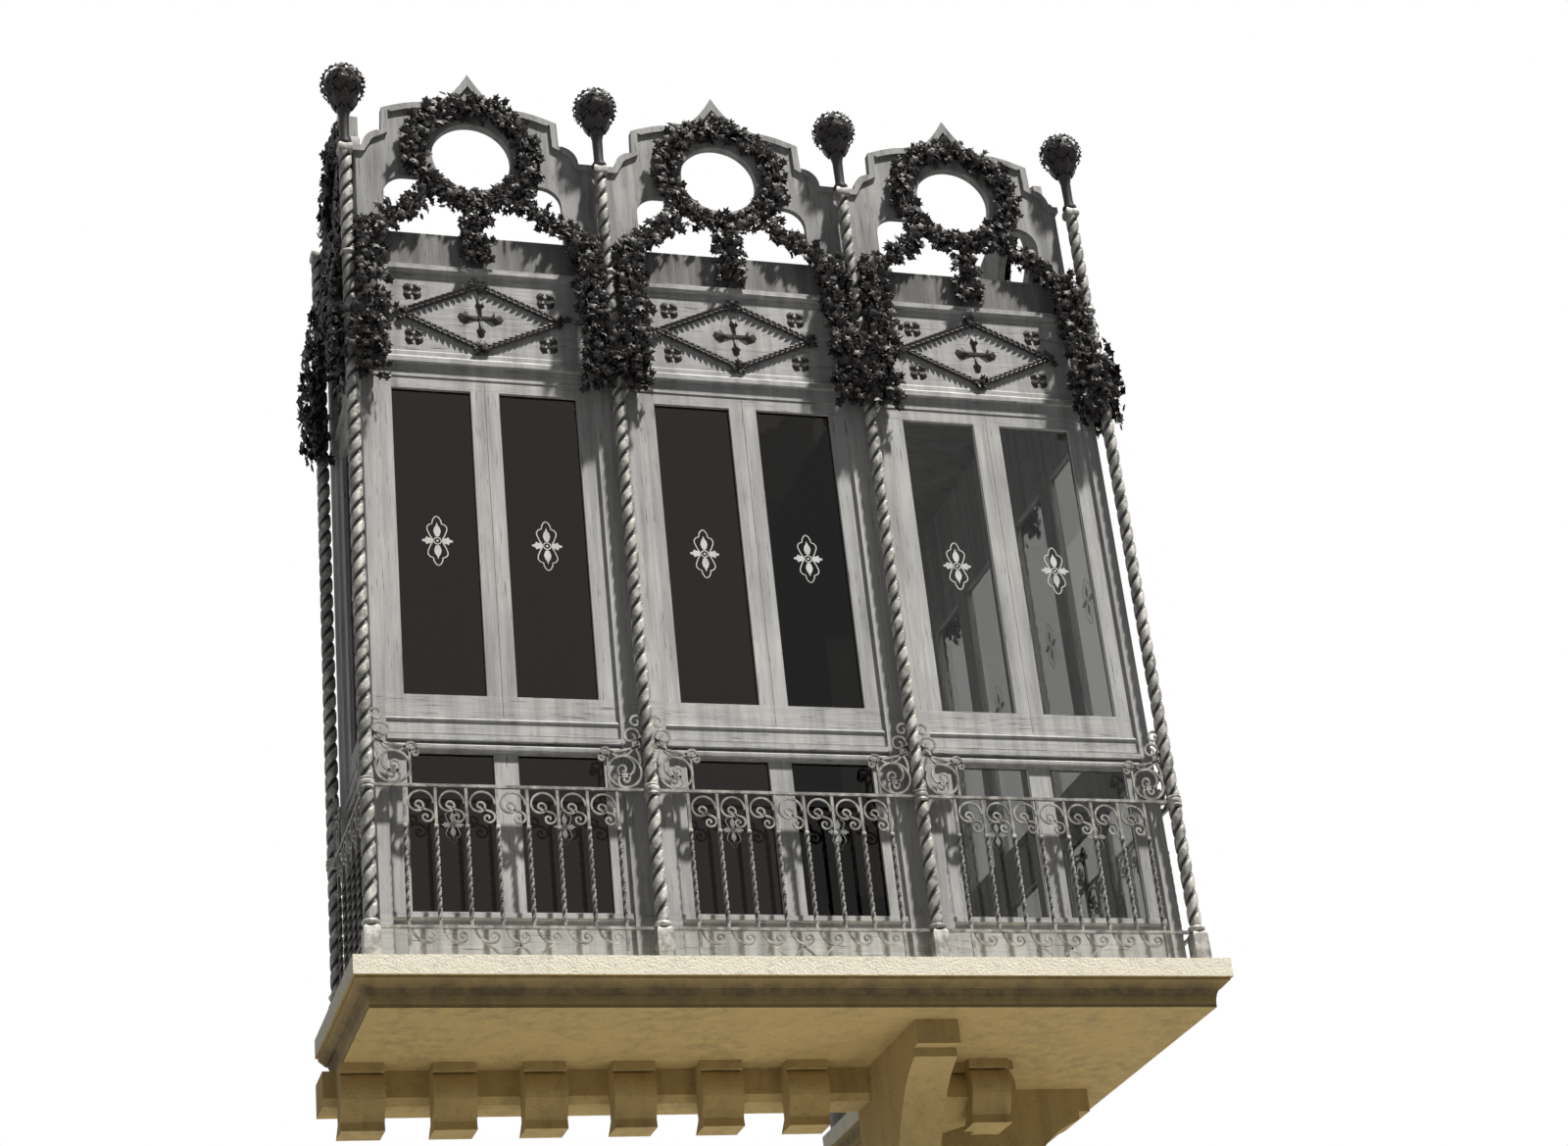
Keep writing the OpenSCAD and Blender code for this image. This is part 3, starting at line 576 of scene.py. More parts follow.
def flower_balls():
    """A ball of flowers round every point of the base mesh."""
    g = Grower("Flower balls", [
        ("Flower", "Object", None), ("Radius", "Float", 0.09), ("Flower size", "Float", 0.03)])
    ball = g.out("GeometryNodeMeshIcoSphere", {"Radius": g.given("Radius"), "Subdivisions": 2})
    inward = g.scaled(g.out("GeometryNodeInputNormal"), -1.0)
    facing = g.out("FunctionNodeAlignRotationToVector", {"Vector": inward}, axis="Y")
    spin = g.out("FunctionNodeRandomValue", {"Min": 0.0, "Max": TAU, "Seed": 3}, data_type="FLOAT")
    rotation = g.turned_by(facing, g.out("ShaderNodeCombineXYZ", {"Y": spin}))
    return g.end(g.on_points(g.planted(ball, "Flower", rotation, g.given("Flower size"))))


TREES = {"Twisted bars": twisted_bars, "Bent bars": bent_bars, "Leafy strand": leafy_strand,
         "Leaf braid": leaf_braid, "Flower balls": flower_balls}


def grow(name, base, material, **values):
    """The plain mesh that the tree of that name makes from a base mesh."""
    tree = bpy.data.node_groups.get(name) or TREES[name]()
    holder = in_scene(name, base)
    modifier = holder.modifiers.new(name, "NODES")
    modifier.node_group = tree
    wanted = {label.replace("_", " ").capitalize(): value for label, value in values.items()}
    wanted["Material"] = material
    for item in tree.interface.items_tree:
        if item.item_type == "SOCKET" and item.in_out == "INPUT" and item.name in wanted:
            modifier[item.identifier] = wanted.pop(item.name)
    if wanted:
        raise RuntimeError(f"{name} has no input {sorted(wanted)}")
    graph = bpy.context.evaluated_depsgraph_get()
    mesh = bpy.data.meshes.new_from_object(holder.evaluated_get(graph), depsgraph=graph)
    holder.modifiers.remove(modifier)
    bpy.data.objects.remove(holder)
    return mesh


def bars(paths, material, width, thickness=None, closed=False):
    """Bars along each list of points, square where no thickness is given."""
    return grow("Bent bars", path_mesh(paths, closed), material, width=width, thickness=thickness or width)


def strewn_leaves(paths, shapes, seed, copies, spread, closed=False, **other):
    """Leaves and flowers strewn along each list of points, thrown off it by up to the spread."""
    foliage = leaves()
    leaf, flower = shapes
    values = {"spacing": LEAF_SPACING, "leaf_size": foliage.leaf, "flower_size": foliage.flower,
              "flower_share": FLOWER_SHARE, **other}
    return grow("Leafy strand", path_mesh(paths, closed), finish("Dark sheet iron"), leaf=leaf,
                flower=flower, seed=foliage.seed + seed, copies=copies, spread=spread, **values)


# Leaf and flower shapes, each one unit long, facing out of the wing


def shell(centre, rings, back):
    """A thin closed shell: rings of points round a centre point, from the inside out, and its back."""
    count = len(rings[0])
    points = [centre] + [p for ring in rings for p in ring]
    faces = [(0, 1 + (k + 1) % count, 1 + k) for k in range(count)]
    for r in range(len(rings) - 1):
        a = 1 + r * count
        faces += [(a + k, a + (k + 1) % count, a + count + (k + 1) % count, a + count + k)
                  for k in range(count)]
    rim = len(points) - count
    under = len(points)
    points += [(x, y + back, z) for x, y, z in rings[-1]]
    points.append((centre[0], centre[1] + back, centre[2]))
    for k in range(count):
        n = (k + 1) % count
        faces += [(rim + k, rim + n, under + n, under + k), (under + count, under + k, under + n)]
    return plain_mesh("shell", points, faces=faces)


def ivy_leaf():
    """A leaf of five lobes, from angles in degrees and reaches, cupped more towards its tips."""
    lobes = [(90, 1.15), (62, 0.55), (35, 0.98), (5, 0.52), (-35, 0.85), (-90, 0.42), (-145, 0.85),
             (175, 0.52), (145, 0.98), (118, 0.55)]
    cup, middle = 0.16, 0.12
    rim = []
    for angle, reach in reversed(lobes):
        x, z = polar(reach, math.radians(angle))
        rim.append((x, cup * reach * reach - middle, z))
    return shell((0, -0.26, 0.05), [rim], 0.07)


def small_flower(lift=0.10, middle=0.34):
    """Five petals whose tips stand out by lift and their roots by middle."""
    petals, root, notch = 5, 0.42, 0.62
    inner, outer = [], []
    for k in range(petals * 2):
        angle, tip = -TAU * k / (petals * 2), k % 2 == 0
        x, z = polar(root, angle)
        inner.append((x, -middle if tip else -0.65 * middle, z))
        x, z = polar(1.0 if tip else notch, angle)
        outer.append((x, -lift if tip else -0.2 * lift, z))
    return shell((0, -0.20, 0), [inner, outer], 0.09)


def mirrored_leaf(half, depth, root, rib, back):
    """A leaf from the right half of its outline, with its root and its rib as far out as they say."""
    rim = [(x, depth if x else root, z) for x, z in half] + [(-x, depth, z) for x, z in half[-2:0:-1]]
    return shell(rib, [rim], back)


def laurel_leaf():
    half = [(0, 0.02), (0.26, 0.25), (0.31, 0.52), (0.19, 0.82), (0, 1.0)]
    return mirrored_leaf(half, -0.02, -0.10, (0, -0.16, 0.5), 0.07)


def long_petal():
    half = [(0, 0.0), (0.07, 0.10), (0.07, 0.46), (0.19, 0.62), (0.12, 0.78), (0.13, 0.88), (0, 1.0)]
    return mirrored_leaf(half, 0.0, 0.0, (0, -0.13, 0.6), 0.09)


def shape_objects(*meshes):
    """Objects that the trees set out, which are dropped again when their pieces are made."""
    return [in_scene("shape", mesh) for mesh in meshes]


def drop_shapes(shapes):
    for made in shapes:
        bpy.data.objects.remove(made)


# Materials


class Finish(Wiring):
    """A material with one Principled surface, fed from shared groups of masks."""

    def __init__(self, name, fixed=None):
        self.material = bpy.data.materials.new(name)
        self.material.use_nodes = True
        super().__init__(self.material.node_tree)
        self.surface = self.tree.nodes["Principled BSDF"]
        for label, value in (fixed or {}).items():
            self.surface.inputs[label].default_value = value
        self.place = self.add("ShaderNodeTexCoord").outputs["Object"]

    def group(self, name, scale=None):
        """The masks of a shared group, by name."""
        node = self.add("ShaderNodeGroup", node_tree=bpy.data.node_groups[name])
        self.tree.links.new(self.place, node.inputs["Place"])
        if scale:
            node.inputs["Scale"].default_value = scale
        return node.outputs

    def blend(self, share, below, above):
        """The colour above laid over the one below by its share, each a socket or a plain colour."""
        colours = [c if isinstance(c, bpy.types.NodeSocket) else (*c, 1) for c in (below, above)]
        return self.out("ShaderNodeMix", {"Factor": share, "A": colours[0], "B": colours[1]},
                        data_type="RGBA")

    def feed(self, name, value):
        self.tree.links.new(value, self.surface.inputs[name])

    def relief(self, height, strength, distance):
        bump = self.add("ShaderNodeBump", {"Height": height, "Strength": strength, "Distance": distance})
        self.feed("Normal", bump.outputs["Normal"])


def mask_group(name, inputs, outputs):
    tree = bpy.data.node_groups.new(name, "ShaderNodeTree")
    face = tree.interface
    face.new_socket("Place", in_out="INPUT", socket_type="NodeSocketVector")
    for label, value in inputs:
        face.new_socket(label, in_out="INPUT", socket_type="NodeSocketFloat").default_value = value
    for label in outputs:
        face.new_socket(label, in_out="OUTPUT", socket_type="NodeSocketFloat")
    return Wiring(tree), tree.nodes.new("NodeGroupInput").outputs, tree.nodes.new("NodeGroupOutput").inputs


def stretched_noise(w, place, stretch, scale, detail, low, high):
    """Noise drawn out along an axis and spread to run from 0 to 1."""
    mapped = w.out("ShaderNodeMapping", {"Vector": place, "Scale": stretch})
    noise = w.add("ShaderNodeTexNoise",
                  {"Vector": mapped, "Scale": scale, "Detail": detail, "Roughness": 0.6})
    return w.spread(noise.outputs[0], low, high)


def weather_group():
    """Blotches, runs of dirt, grit, specks and patches, each from 0 to 1."""
    even, upright = (1, 1, 1), (16, 16, 0.9)
    masks = {  # stretch, scale, detail, and the noise that becomes 0 and 1
        "Blotch": (even, 2.6, 6, 0.38, 0.66),
        "Streak": (upright, 1.0, 5, 0.42, 0.72),
        "Grit": (even, 150, 3, 0.3, 0.7),
        "Speck": (even, 34, 4, 0.56, 0.68),
        "Patch": (even, 12, 5, 0.44, 0.60),
    }
    w, start, end = mask_group("Weather", [("Scale", 1.0)], masks)
    place = w.scaled(start["Place"], start["Scale"])
    for name, values in masks.items():
        w.tree.links.new(stretched_noise(w, place, *values), end[name])


def grain_group():
    """Wood grain that runs up the posts and along the rails, with fine cracks."""
    w, start, end = mask_group("Timber grain", [], ["Grain", "Crack"])
    place = start["Place"]
    level = w.floor_height(place)
    along = 0.0
    for low, high in RAIL_BANDS:
        along = w.plus(w.within(level, low, high), along)
    for name, scale, low, high in (("Grain", 2.4, 0.32, 0.70), ("Crack", 6.5, 0.60, 0.68)):
        up = stretched_noise(w, place, (22, 22, 1.1), scale, 5, low, high)
        across = stretched_noise(w, place, (1.1, 1.1, 22), scale, 5, low, high)
        mix = w.out("ShaderNodeMix", {"Factor": along, "A": up, "B": across}, data_type="FLOAT")
        w.tree.links.new(mix, end[name])


def timber_finish(name, paint, bare):
    """Paint worn down to the grain, with runs of dirt, a splashed foot, and painted shade under the crest's
    foot and over the crest.
    """
    grime_and_shade = paints().timber_grime_and_shade
    f = Finish(name)
    weather, wood = f.group("Weather"), f.group("Timber grain")
    level = f.floor_height(f.place)
    worn = f.times(wood["Grain"], f.plus(f.times(weather["Blotch"], 0.55), 0.25))
    painted = f.blend(worn, paint, bare)
    splash = f.spread(level, SPLASH_TOP, 0.0)
    # painted shade in the band under the crest's foot, broken by streaks
    painted_crest_shade = f.times(f.within(level, *CREST_SHADE_BAND), f.minus(0.85, f.times(weather["Streak"], 0.9)))
    run = f.plus(f.times(weather["Streak"], 0.5), f.times(splash, 0.22))
    # painted shade over the whole crest joins the runs of dirt
    run = f.plus(f.plus(run, painted_crest_shade), f.times(f.over(level, CREST_FOOT), 0.20))
    dirt_and_painted_shade = f.blend(run, painted, grime_and_shade)
    f.feed("Base Color", f.blend(f.times(wood["Crack"], 0.75), dirt_and_painted_shade, grime_and_shade))
    f.feed("Roughness", f.minus(0.88, f.times(weather["Blotch"], 0.16)))
    height = f.minus(f.plus(wood["Grain"], f.times(weather["Grit"], 0.3)), wood["Crack"])
    f.relief(height, 0.5, 0.0012)
    return f.material


def bar_finish(name, iron_paint, dust):
    """Chalky paint on bars, with specks of rust and painted shade in the hollows of a twist."""
    paint = paints()
    f = Finish(name, {"Metallic": 0.1})
    weather = f.group("Weather", scale=1.6)
    chalk = f.plus(f.times(weather["Streak"], 0.45), f.times(weather["Patch"], 0.55))
    rusty = f.blend(f.times(weather["Speck"], 0.6), f.blend(chalk, iron_paint, dust), paint.rust)
    hollow = f.add("ShaderNodeAttribute", attribute_name="hollow").outputs["Fac"]
    # painted shade in the grooves, from the depth that the twisted bars stored
    depth = f.spread(hollow, 0.38, 0.66)
    f.feed("Base Color", f.blend(f.times(depth, 0.92), rusty, paint.hollow))
    f.feed("Roughness", f.plus(0.45, f.times(weather["Grit"], 0.25)))
    f.relief(weather["Grit"], 0.35, 0.0006)
    return f.material


def leaf_finish(name):
    """Near-black sheet iron with a little rust, and pale specks that are partly dust and partly painted
    glints.
    """
    paint = paints()
    f = Finish(name, {"Specular IOR Level": 0.24})
    weather = f.group("Weather", scale=3.0)
    rusty = f.blend(f.times(weather["Blotch"], 0.05), paint.leaf_iron, paint.rust)
    # pale specks, partly dust and partly painted glints
    f.feed("Base Color", f.blend(f.times(weather["Speck"], 0.08), rusty, paint.iron_dust))
    f.feed("Roughness", f.plus(0.34, f.times(weather["Grit"], 0.3)))
    f.relief(weather["Grit"], 0.3, 0.0005)
    return f.material


def stone_finish(name):
    """Ochre stone, washed pale at the shelf's edge, with painted shade in its hollow and a painted shadow
    line under its mouldings.
    """
    paint = paints()
    f = Finish(name)
    weather = f.group("Weather", scale=0.8)
    level = f.floor_height(f.place)
    edge = f.over(level, EDGE_FOOT)
    near = f.calc("ABSOLUTE", f.minus(level, COVE_MIDDLE))
    cove = f.times(f.spread(near, *COVE_REACH), f.minus(1.0, edge))
    bed = f.out("ShaderNodeTexNoise", {"Vector": f.place, "Scale": 11.0, "Detail": 7.0, "Roughness": 0.7})
    mottled = f.blend(f.times(bed, 0.45), paint.stone, tuple(c * 0.72 for c in paint.stone))
    washed = f.blend(f.times(edge, 0.95), mottled, paint.stone_edge)
    # mottled painted shade in the hollow, and a painted shadow line under the mouldings
    painted_shade = f.plus(f.times(cove, f.plus(f.times(weather["Patch"], 0.28), 0.64)),
                  f.times(f.within(level, *SHADOW_LINE), 0.6))
    run = f.times(f.times(weather["Blotch"], weather["Streak"]), f.minus(0.65, f.times(edge, 0.5)))
    shaded = washed
    for share in (painted_shade, run, f.times(weather["Speck"], 0.22)):
        shaded = f.blend(share, shaded, paint.stone_stain_and_shade)
    f.feed("Base Color", shaded)
    f.feed("Roughness", f.plus(0.82, f.times(weather["Grit"], 0.15)))
    f.relief(f.plus(weather["Grit"], f.times(bed, 2.0)), 0.6, 0.003)
    return f.material


def glass_finish(name):
    """Glass whose colour is painted shade for the dark room behind the front panes, and clear from the corner
    bay on.
    """
    f = Finish(name, {"Roughness": 0.0, "Transmission Weight": 1.0, "IOR": 1.28})
    across = f.add("ShaderNodeSeparateXYZ", {0: f.place}).outputs["X"]
    past = f.over(across, corner() - sizes().bay_width)
    # the front panes get the painted dark of the room, the rest clear glass
    f.feed("Base Color", f.blend(past, paints().glass, paints().glass_clear))
    return f.material


def etching_finish(name):
    """Frosted lines, dulled in blotches and on the lower lights."""
    frost = paints().etching
    f = Finish(name, {"Roughness": 0.7})
    dirt = f.group("Weather", scale=6.0)
    worn = f.plus(f.times(dirt["Blotch"], 0.4), f.under(f.floor_height(f.place), LOWER_LIGHTS_TOP))
    f.feed("Base Color", f.blend(worn, frost, tuple(c * 0.32 for c in frost)))
    return f.material


def finish(name):
    """The finish of that name, made when it is first asked for."""
    paint = paints()
    makers = {
        "Weathered grey paint": (timber_finish, paint.timber, paint.timber_worn),
        "Dull roof boards": (timber_finish, paint.roof, paint.timber),
        "Weathered iron bars": (bar_finish, paint.iron, paint.iron_dust),
        "Worn railing iron": (bar_finish, paint.railing, paint.railing_dust),
        "Dark sheet iron": (leaf_finish,),
        "Weathered sandstone": (stone_finish,),
        "Old window glass": (glass_finish,),
        "Frosted etching": (etching_finish,),
    }
    if "Weather" not in bpy.data.node_groups:
        weather_group()
        grain_group()
    maker, *colours = makers[name]
    return bpy.data.materials.get(name) or maker(name, *colours)


def dress(nodes, material):
    for name in nodes:
        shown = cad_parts[name].data.materials
        shown.clear()
        shown.append(material)


# Operators


class BALCONY_OT_carpentry(bpy.types.Operator):
    """Gives the joinery and the roof their weathered paint, and adds the fine beads of the transoms"""

    bl_idname = "balcony.carpentry"
    bl_label = "Timber"

    # Sections of (inwards, level) points
    LOW_BEAD = ((0.064, 0.984), (0.048, 0.984), (0.045, 0.990), (0.045, 1.008), (0.050, 1.014),
                (0.064, 1.014))
    HIGH_BEAD = ((0.064, 1.128), (0.056, 1.128), (0.054, 1.132), (0.054, 1.137), (0.058, 1.142),
                 (0.064, 1.142))

    def bay(self, run, _):
        post = sizes().post_half
        ends = [(post, 0, 0, 1), (run - post, 0, 0, 1)]
        return [(moulding(section, ends), Matrix()) for section in (self.LOW_BEAD, self.HIGH_BEAD)]

    def execute(self, context):
        paint = finish("Weathered grey paint")
        joinery = ("frame", "casements", "frieze", "crest")
        dress([part + "_" + group for part in joinery for group in GROUPS], paint)
        dress(["roof_front", "roof_side"], finish("Dull roof boards"))
        piece_per_group("transom_beads", None, "painted_timber", paint, self.bay)
        return {"FINISHED"}


class BALCONY_OT_masonry(bpy.types.Operator):
    """Gives the shelf, bands and brackets their stone, and adds the fine mouldings and the corner block"""

    bl_idname = "balcony.masonry"
    bl_label = "Stone"

    # Sections of (out, level) points
    FILLET = ((0.0832, -0.0960), (0.050, -0.124), (0.018, -0.124), (0.018, -0.0960))
    BEAD = ((0.002, -0.154), (0.011, -0.163), (0.013, -0.174), (0.008, -0.185), (-0.004, -0.1925),
            (-0.034, -0.1925), (-0.034, -0.154))
    BLOCK_TOP = -0.205
    BLOCK_HEIGHT = 0.23
    BLOCK_REACH = 0.257
    BLOCK_INTO_WALL = 0.075

    def corner_section(self):
        """Section of the block under the shelf's corner: cap, swell and toe, as on the small brackets."""
        reach, top = self.BLOCK_REACH, self.BLOCK_TOP
        low = top - self.BLOCK_HEIGHT
        swell_out, swell_rise, swell_middle = 0.042, 0.08, top - 0.12
        swell = [(reach - swell_out + swell_out * x, swell_middle + swell_rise * z)
                 for x, z in (polar(1, math.radians(angle)) for angle in range(90, -31, -15))]
        cap = [(0.01, top), (reach, top), (reach, top - 0.04)]
        toe = [(reach - 0.044, low + 0.04), (0.08, low), (0.01, low)]
        return cap + swell + toe

    def execute(self, context):
        plan = sizes()
        sandstone = finish("Weathered sandstone")
        masonry = ("slab", "stone_band", "modillions", "corner_bracket")
        dress([part + "_" + group for part in masonry for group in ("front", "side")], sandstone)
        level = at(0, 0, plan.floor_level)
        round_shelf = [(plan.left_edge, 0, -1, 0), (plan.left_edge, plan.front, -1, -1),
                       (corner(), plan.front, 1, -1), (corner(), back(), 1, 1),
                       (plan.wall_side, back(), 0, 1)]
        shelf = [(moulding(section, round_shelf), level) for section in (self.FILLET, self.BEAD)]
        piece("shelf_mouldings", None, sandstone, shelf)
        round_corner = [(plan.wall_side - self.BLOCK_INTO_WALL, 0, 0, -1), (plan.wall_side, 0, 1, -1),
                        (plan.wall_side, self.BLOCK_INTO_WALL, 1, 0)]
        block = moulding(self.corner_section(), round_corner)
        piece("corner_block", None, sandstone, [(block, level)])
        return {"FINISHED"}


class BALCONY_OT_panes(bpy.types.Operator):
    """Gives the panes their glass"""

    bl_idname = "balcony.panes"
    bl_label = "Glass"

    def execute(self, context):
        dress(["glass_" + group for group in GROUPS], finish("Old window glass"))
        return {"FINISHED"}


class BALCONY_OT_columns(bpy.types.Operator):
    """Winds the twisted columns with their feet, collars and caps"""

    bl_idname = "balcony.columns"
    bl_label = "Twisted columns"

    NODES = {"front": "columns_front", "side": "columns_side", "ends": "columns_wall"}
    # Profiles of (radius, height) points, the collar's radii as shares of its own
    BEAD = ((0, -0.012), (0.034, -0.012), (0.0385, -0.006), (0.040, 0), (0.0385, 0.006), (0.034, 0.012),
            (0, 0.012))
    COLLAR = ((0, -0.034), (0.90, -0.034), (1, -0.026), (0.93, -0.018), (1.02, -0.009), (1.02, 0.001),
              (0.93, 0.009), (1, 0.015), (0.90, 0.020), (0, 0.020))
    CAP = ((0, -0.052), (0.026, -0.052), (0.034, -0.036), (0.034, -0.010), (0.030, 0), (0, 0))
    FOOT_HEAD = ((0, -0.022), (-0.005, -0.012), (-0.012, 0))  # from the foot's upper edge
    LOW_BEAD = 0.008  # over the foot
    HIGH_BEAD = 3.49  # over the floor
    SHAFT_IN_CAP = 0.03
    SIDES = 16
    STEPS_IN_A_TURN = 16
    ROUNDS = 2

    def execute(self, context):
        size, floor = iron(), sizes().floor_level
        metal = finish("Weathered iron bars")
        half, h = size.foot_width / 2, size.foot_height
        foot = squared([(0, 0), (half, 0)] + [(half + out, h + z) for out, z in self.FOOT_HEAD] + [(0, h)])
        bead, cap = turned(self.BEAD), squared(self.CAP)
        collar = turned([(share * size.collar_radius, z) for share, z in self.COLLAR])
        trim = ((bead, h + self.LOW_BEAD), (collar, size.rail_top), (bead, self.HIGH_BEAD),
                (cap, size.column_top))
        for group, node in self.NODES.items():
            axes = column_axes(group)
            feet = plain_mesh("feet", [(x, y, floor + h) for x, y in axes])
            shafts = grow("Twisted bars", feet, metal, height=size.column_top - h - self.SHAFT_IN_CAP,
                          radius=size.shaft_radius, groove=size.shaft_groove, lead=size.shaft_lead,
                          step=size.shaft_lead / self.STEPS_IN_A_TURN, sides=self.SIDES, rounds=self.ROUNDS)
            parts = [(mesh, at(x, y, floor + level)) for x, y in axes for mesh, level in trim]
            piece("twisted_" + node, node, metal, [(shafts, Matrix())] + parts)
            under = [(foot, at(x, y, floor)) for x, y in axes]
            piece("column_feet_" + group, None, finish("Worn railing iron"), under)
        return {"FINISHED"}


class BALCONY_OT_finials(bpy.types.Operator):
    """Sets a neck and a ball of flowers on each free column"""

    bl_idname = "balcony.finials"
    bl_label = "Flower balls"

    FLOWER = 0.028  # radius of a flower, which is also how far the ball's core lies under the petals
    FLOWER_ROOT = 0.010  # from the core to the middle of a flower
    # Profiles of (radius, height) points from the column's top and from the neck's own top
    NECK_FOOT = ((0, 0), (0.036, 0), (0.038, 0.010), (0.036, 0.020), (0.026, 0.028), (0.024, 0.060))
    NECK_HEAD = ((0.026, -0.110), (0.034, -0.075), (0.044, -0.035), (0.062, 0.012), (0, 0.012))
    NECK_IN_BALL = 0.85  # share of the core's radius at which the neck ends under its middle
    CALYX_LEAVES = 8
    CALYX_LEAF = 0.095
    CALYX_RADIUS = 0.034
    CALYX_LEAN = math.radians(24)
    CALYX_DROP = 0.070  # from the neck's top to the foot of the leaves

    def calyx(self, leaf):
        """Pairs of the leaf and its place round the neck's top."""
        upright = Matrix.Rotation(self.CALYX_LEAN, 4, "X") @ Matrix.Scale(self.CALYX_LEAF, 4)
        return [(leaf, at(0, 0, -self.CALYX_DROP) @ Matrix.Rotation(TAU * k / self.CALYX_LEAVES, 4, "Z")
                 @ at(0, -self.CALYX_RADIUS, 0) @ upright) for k in range(self.CALYX_LEAVES)]

    def execute(self, context):
        floor, foliage, foot = sizes().floor_level, leaves(), iron().column_top
        metal = finish("Dark sheet iron")
        core = foliage.ball_radius - self.FLOWER
        head = foliage.ball_level - core * self.NECK_IN_BALL
        neck = turned([(r, foot + z) for r, z in self.NECK_FOOT] + [(r, head + z) for r, z in self.NECK_HEAD])
        rings = [polar(core, math.radians(angle)) for angle in range(-75, 90, 15)]
        ball = turned([(0, -core)] + rings + [(0, core)])
        shapes = shape_objects(small_flower(0.40, 0.12))
        calyx = self.calyx(laurel_leaf())
        for group in ("front", "side"):
            axes = column_axes(group)
            centres = plain_mesh("centres", [(x, y, floor + foliage.ball_level) for x, y in axes])
            flowers = grow("Flower balls", centres, metal, flower=shapes[0], flower_size=self.FLOWER,
                           radius=core + self.FLOWER_ROOT)
            parts = [(flowers, Matrix())]
            for x, y in axes:
                parts += [(neck, at(x, y, floor)), (ball, at(x, y, floor + foliage.ball_level))]
                parts += [(leaf, at(x, y, floor + head) @ place) for leaf, place in calyx]
            piece("flower_finials_" + group, "finials_" + group, metal, parts)
        drop_shapes(shapes)
        return {"FINISHED"}


class BALCONY_OT_railing(bpy.types.Operator):
    """Builds the rails, twisted balusters, scrolls, waves and feet of the railing"""

    bl_idname = "balcony.railing"
    bl_label = "Railing"

    # mark sets how dark the painted shade in the balusters' grooves gets
    BALUSTER = {"radius": 0.0108, "groove": 0.60, "lead": 0.092, "step": 0.0066, "sides": 8, "mark": 1.5}
    COLLAR = ((0, -0.009), (0.0075, -0.009), (0.0095, -0.004), (0.0095, 0.004), (0.0075, 0.009),
              (0, 0.009))
    SQUARE_FOOT = 0.02  # straight part of a baluster over the low rail
    OVERLAP = 0.002
    RING_ROOM = 0.06  # left free beside the rings over the handrail
    RAIL_START = 0.8  # share of the collar's radius from a column's axis
    RAIL_WIDTH = 1.25  # of a bar
    SCROLL_WIDTH = 0.85  # of a scroll bar
    # Headings and arcs of the bent bars, with radii as shares of half the gap between two balusters
    SIDE, FOOT = 0.89, 0.66
    SCROLL = (90, (9, 0.5), (SIDE, 89), (SIDE, 90), (FOOT, 90), (0.42, 90), (0.33, 90), (0.24, 110),
              (0.14, 120))
    TAIL = (-4, (2.5, -20), (0.43, -156), (0.33, -90), (0.2, -120), (0.12, -120))
    WAVE = (-85, (1.19, 80), (0.56, 60), (0.33, 120), (0.2, 140), (0.12, 120))
    BOW = (65, (2.73, -38))
    SCROLL_START = 0.3  # share of the same under the middle of the scroll
    WAVE_START = 0.003  # over the low rail
    BOW_START = 0.004  # beside the middle of a baluster

    def scrolls(self, spots, top, low):
        """The bent bars between the balusters at those spots, drawn flat."""
        size = iron()
        r = size.baluster_pitch / 2 - size.bar / 2
        side, foot = self.SIDE * r, self.FOOT * r
        edge = r - size.scroll_bar / 2 + self.OVERLAP / 2
        level = top - side - size.scroll_bar / 2 + self.OVERLAP / 2
        flat = []
        for k in range(len(spots) - 1):
            mid = spots[0] + (k + 0.5) * size.baluster_pitch
            flat.append(bend((mid + edge, level - self.SCROLL_START * r), self.SCROLL, r))
            flat.append(bend((mid + edge - 2 * side + foot, level - foot), self.TAIL, r))
            flat.append(bend((mid - side, low + self.WAVE_START), self.WAVE, r))
        bow = bend((self.BOW_START, size.scroll_bar / 2), self.BOW, r)
        for k, u in enumerate(spots):
            if abs(k - (len(spots) - 1) / 2) < 1:
                flat += [[(u + way * x, z) for x, z in bow] for way in (1, -1)]
        return flat

    def bay(self, run, _, metal):
        size = iron()
        top, low = size.rail_top - size.bar, size.foot_height - size.bar
        count = int((run - 2 * size.ring_radius - self.RING_ROOM) / size.baluster_pitch) + 1
        first = (run - (count - 1) * size.baluster_pitch) / 2
        spots = [first + k * size.baluster_pitch for k in range(count)]
        gap = size.collar_radius * self.RAIL_START
        rails = [[(u, 0, z + size.bar / 2) for u in (gap, run - gap)] for z in (top, low)]
        foot, neck = low + size.bar, top - size.scroll_height
        feet = plain_mesh("feet", [(u, 0, foot + self.SQUARE_FOOT) for u in spots])
        twist = grow("Twisted bars", feet, metal, **self.BALUSTER,
                     height=top - low - size.bar - size.scroll_height - self.SQUARE_FOOT)
        straight = [[(u, 0, a), (u, 0, b)] for u in spots
                    for a, b in ((foot, foot + self.SQUARE_FOOT + self.OVERLAP), (neck - self.OVERLAP, top))]
        straight += [[(u, 0, 0), (u, 0, low)] for u in (spots[0], spots[-1])]
        collar = squared(self.COLLAR)
        return [(twist, Matrix()), (bars(rails, metal, size.bar * self.RAIL_WIDTH, size.bar), Matrix()),
                (bars(straight, metal, size.bar), Matrix()),
                *((collar, at(u, 0, neck + 2 * self.OVERLAP)) for u in spots),
                (bars(self.scrolls(spots, top, low), metal, size.scroll_bar * self.SCROLL_WIDTH,
                      size.scroll_bar), INWARD)]

    def execute(self, context):
        metal = finish("Worn railing iron")
        piece_per_group("scroll_railing", "railing", "wrought_iron", metal, self.bay, metal)
        return {"FINISHED"}


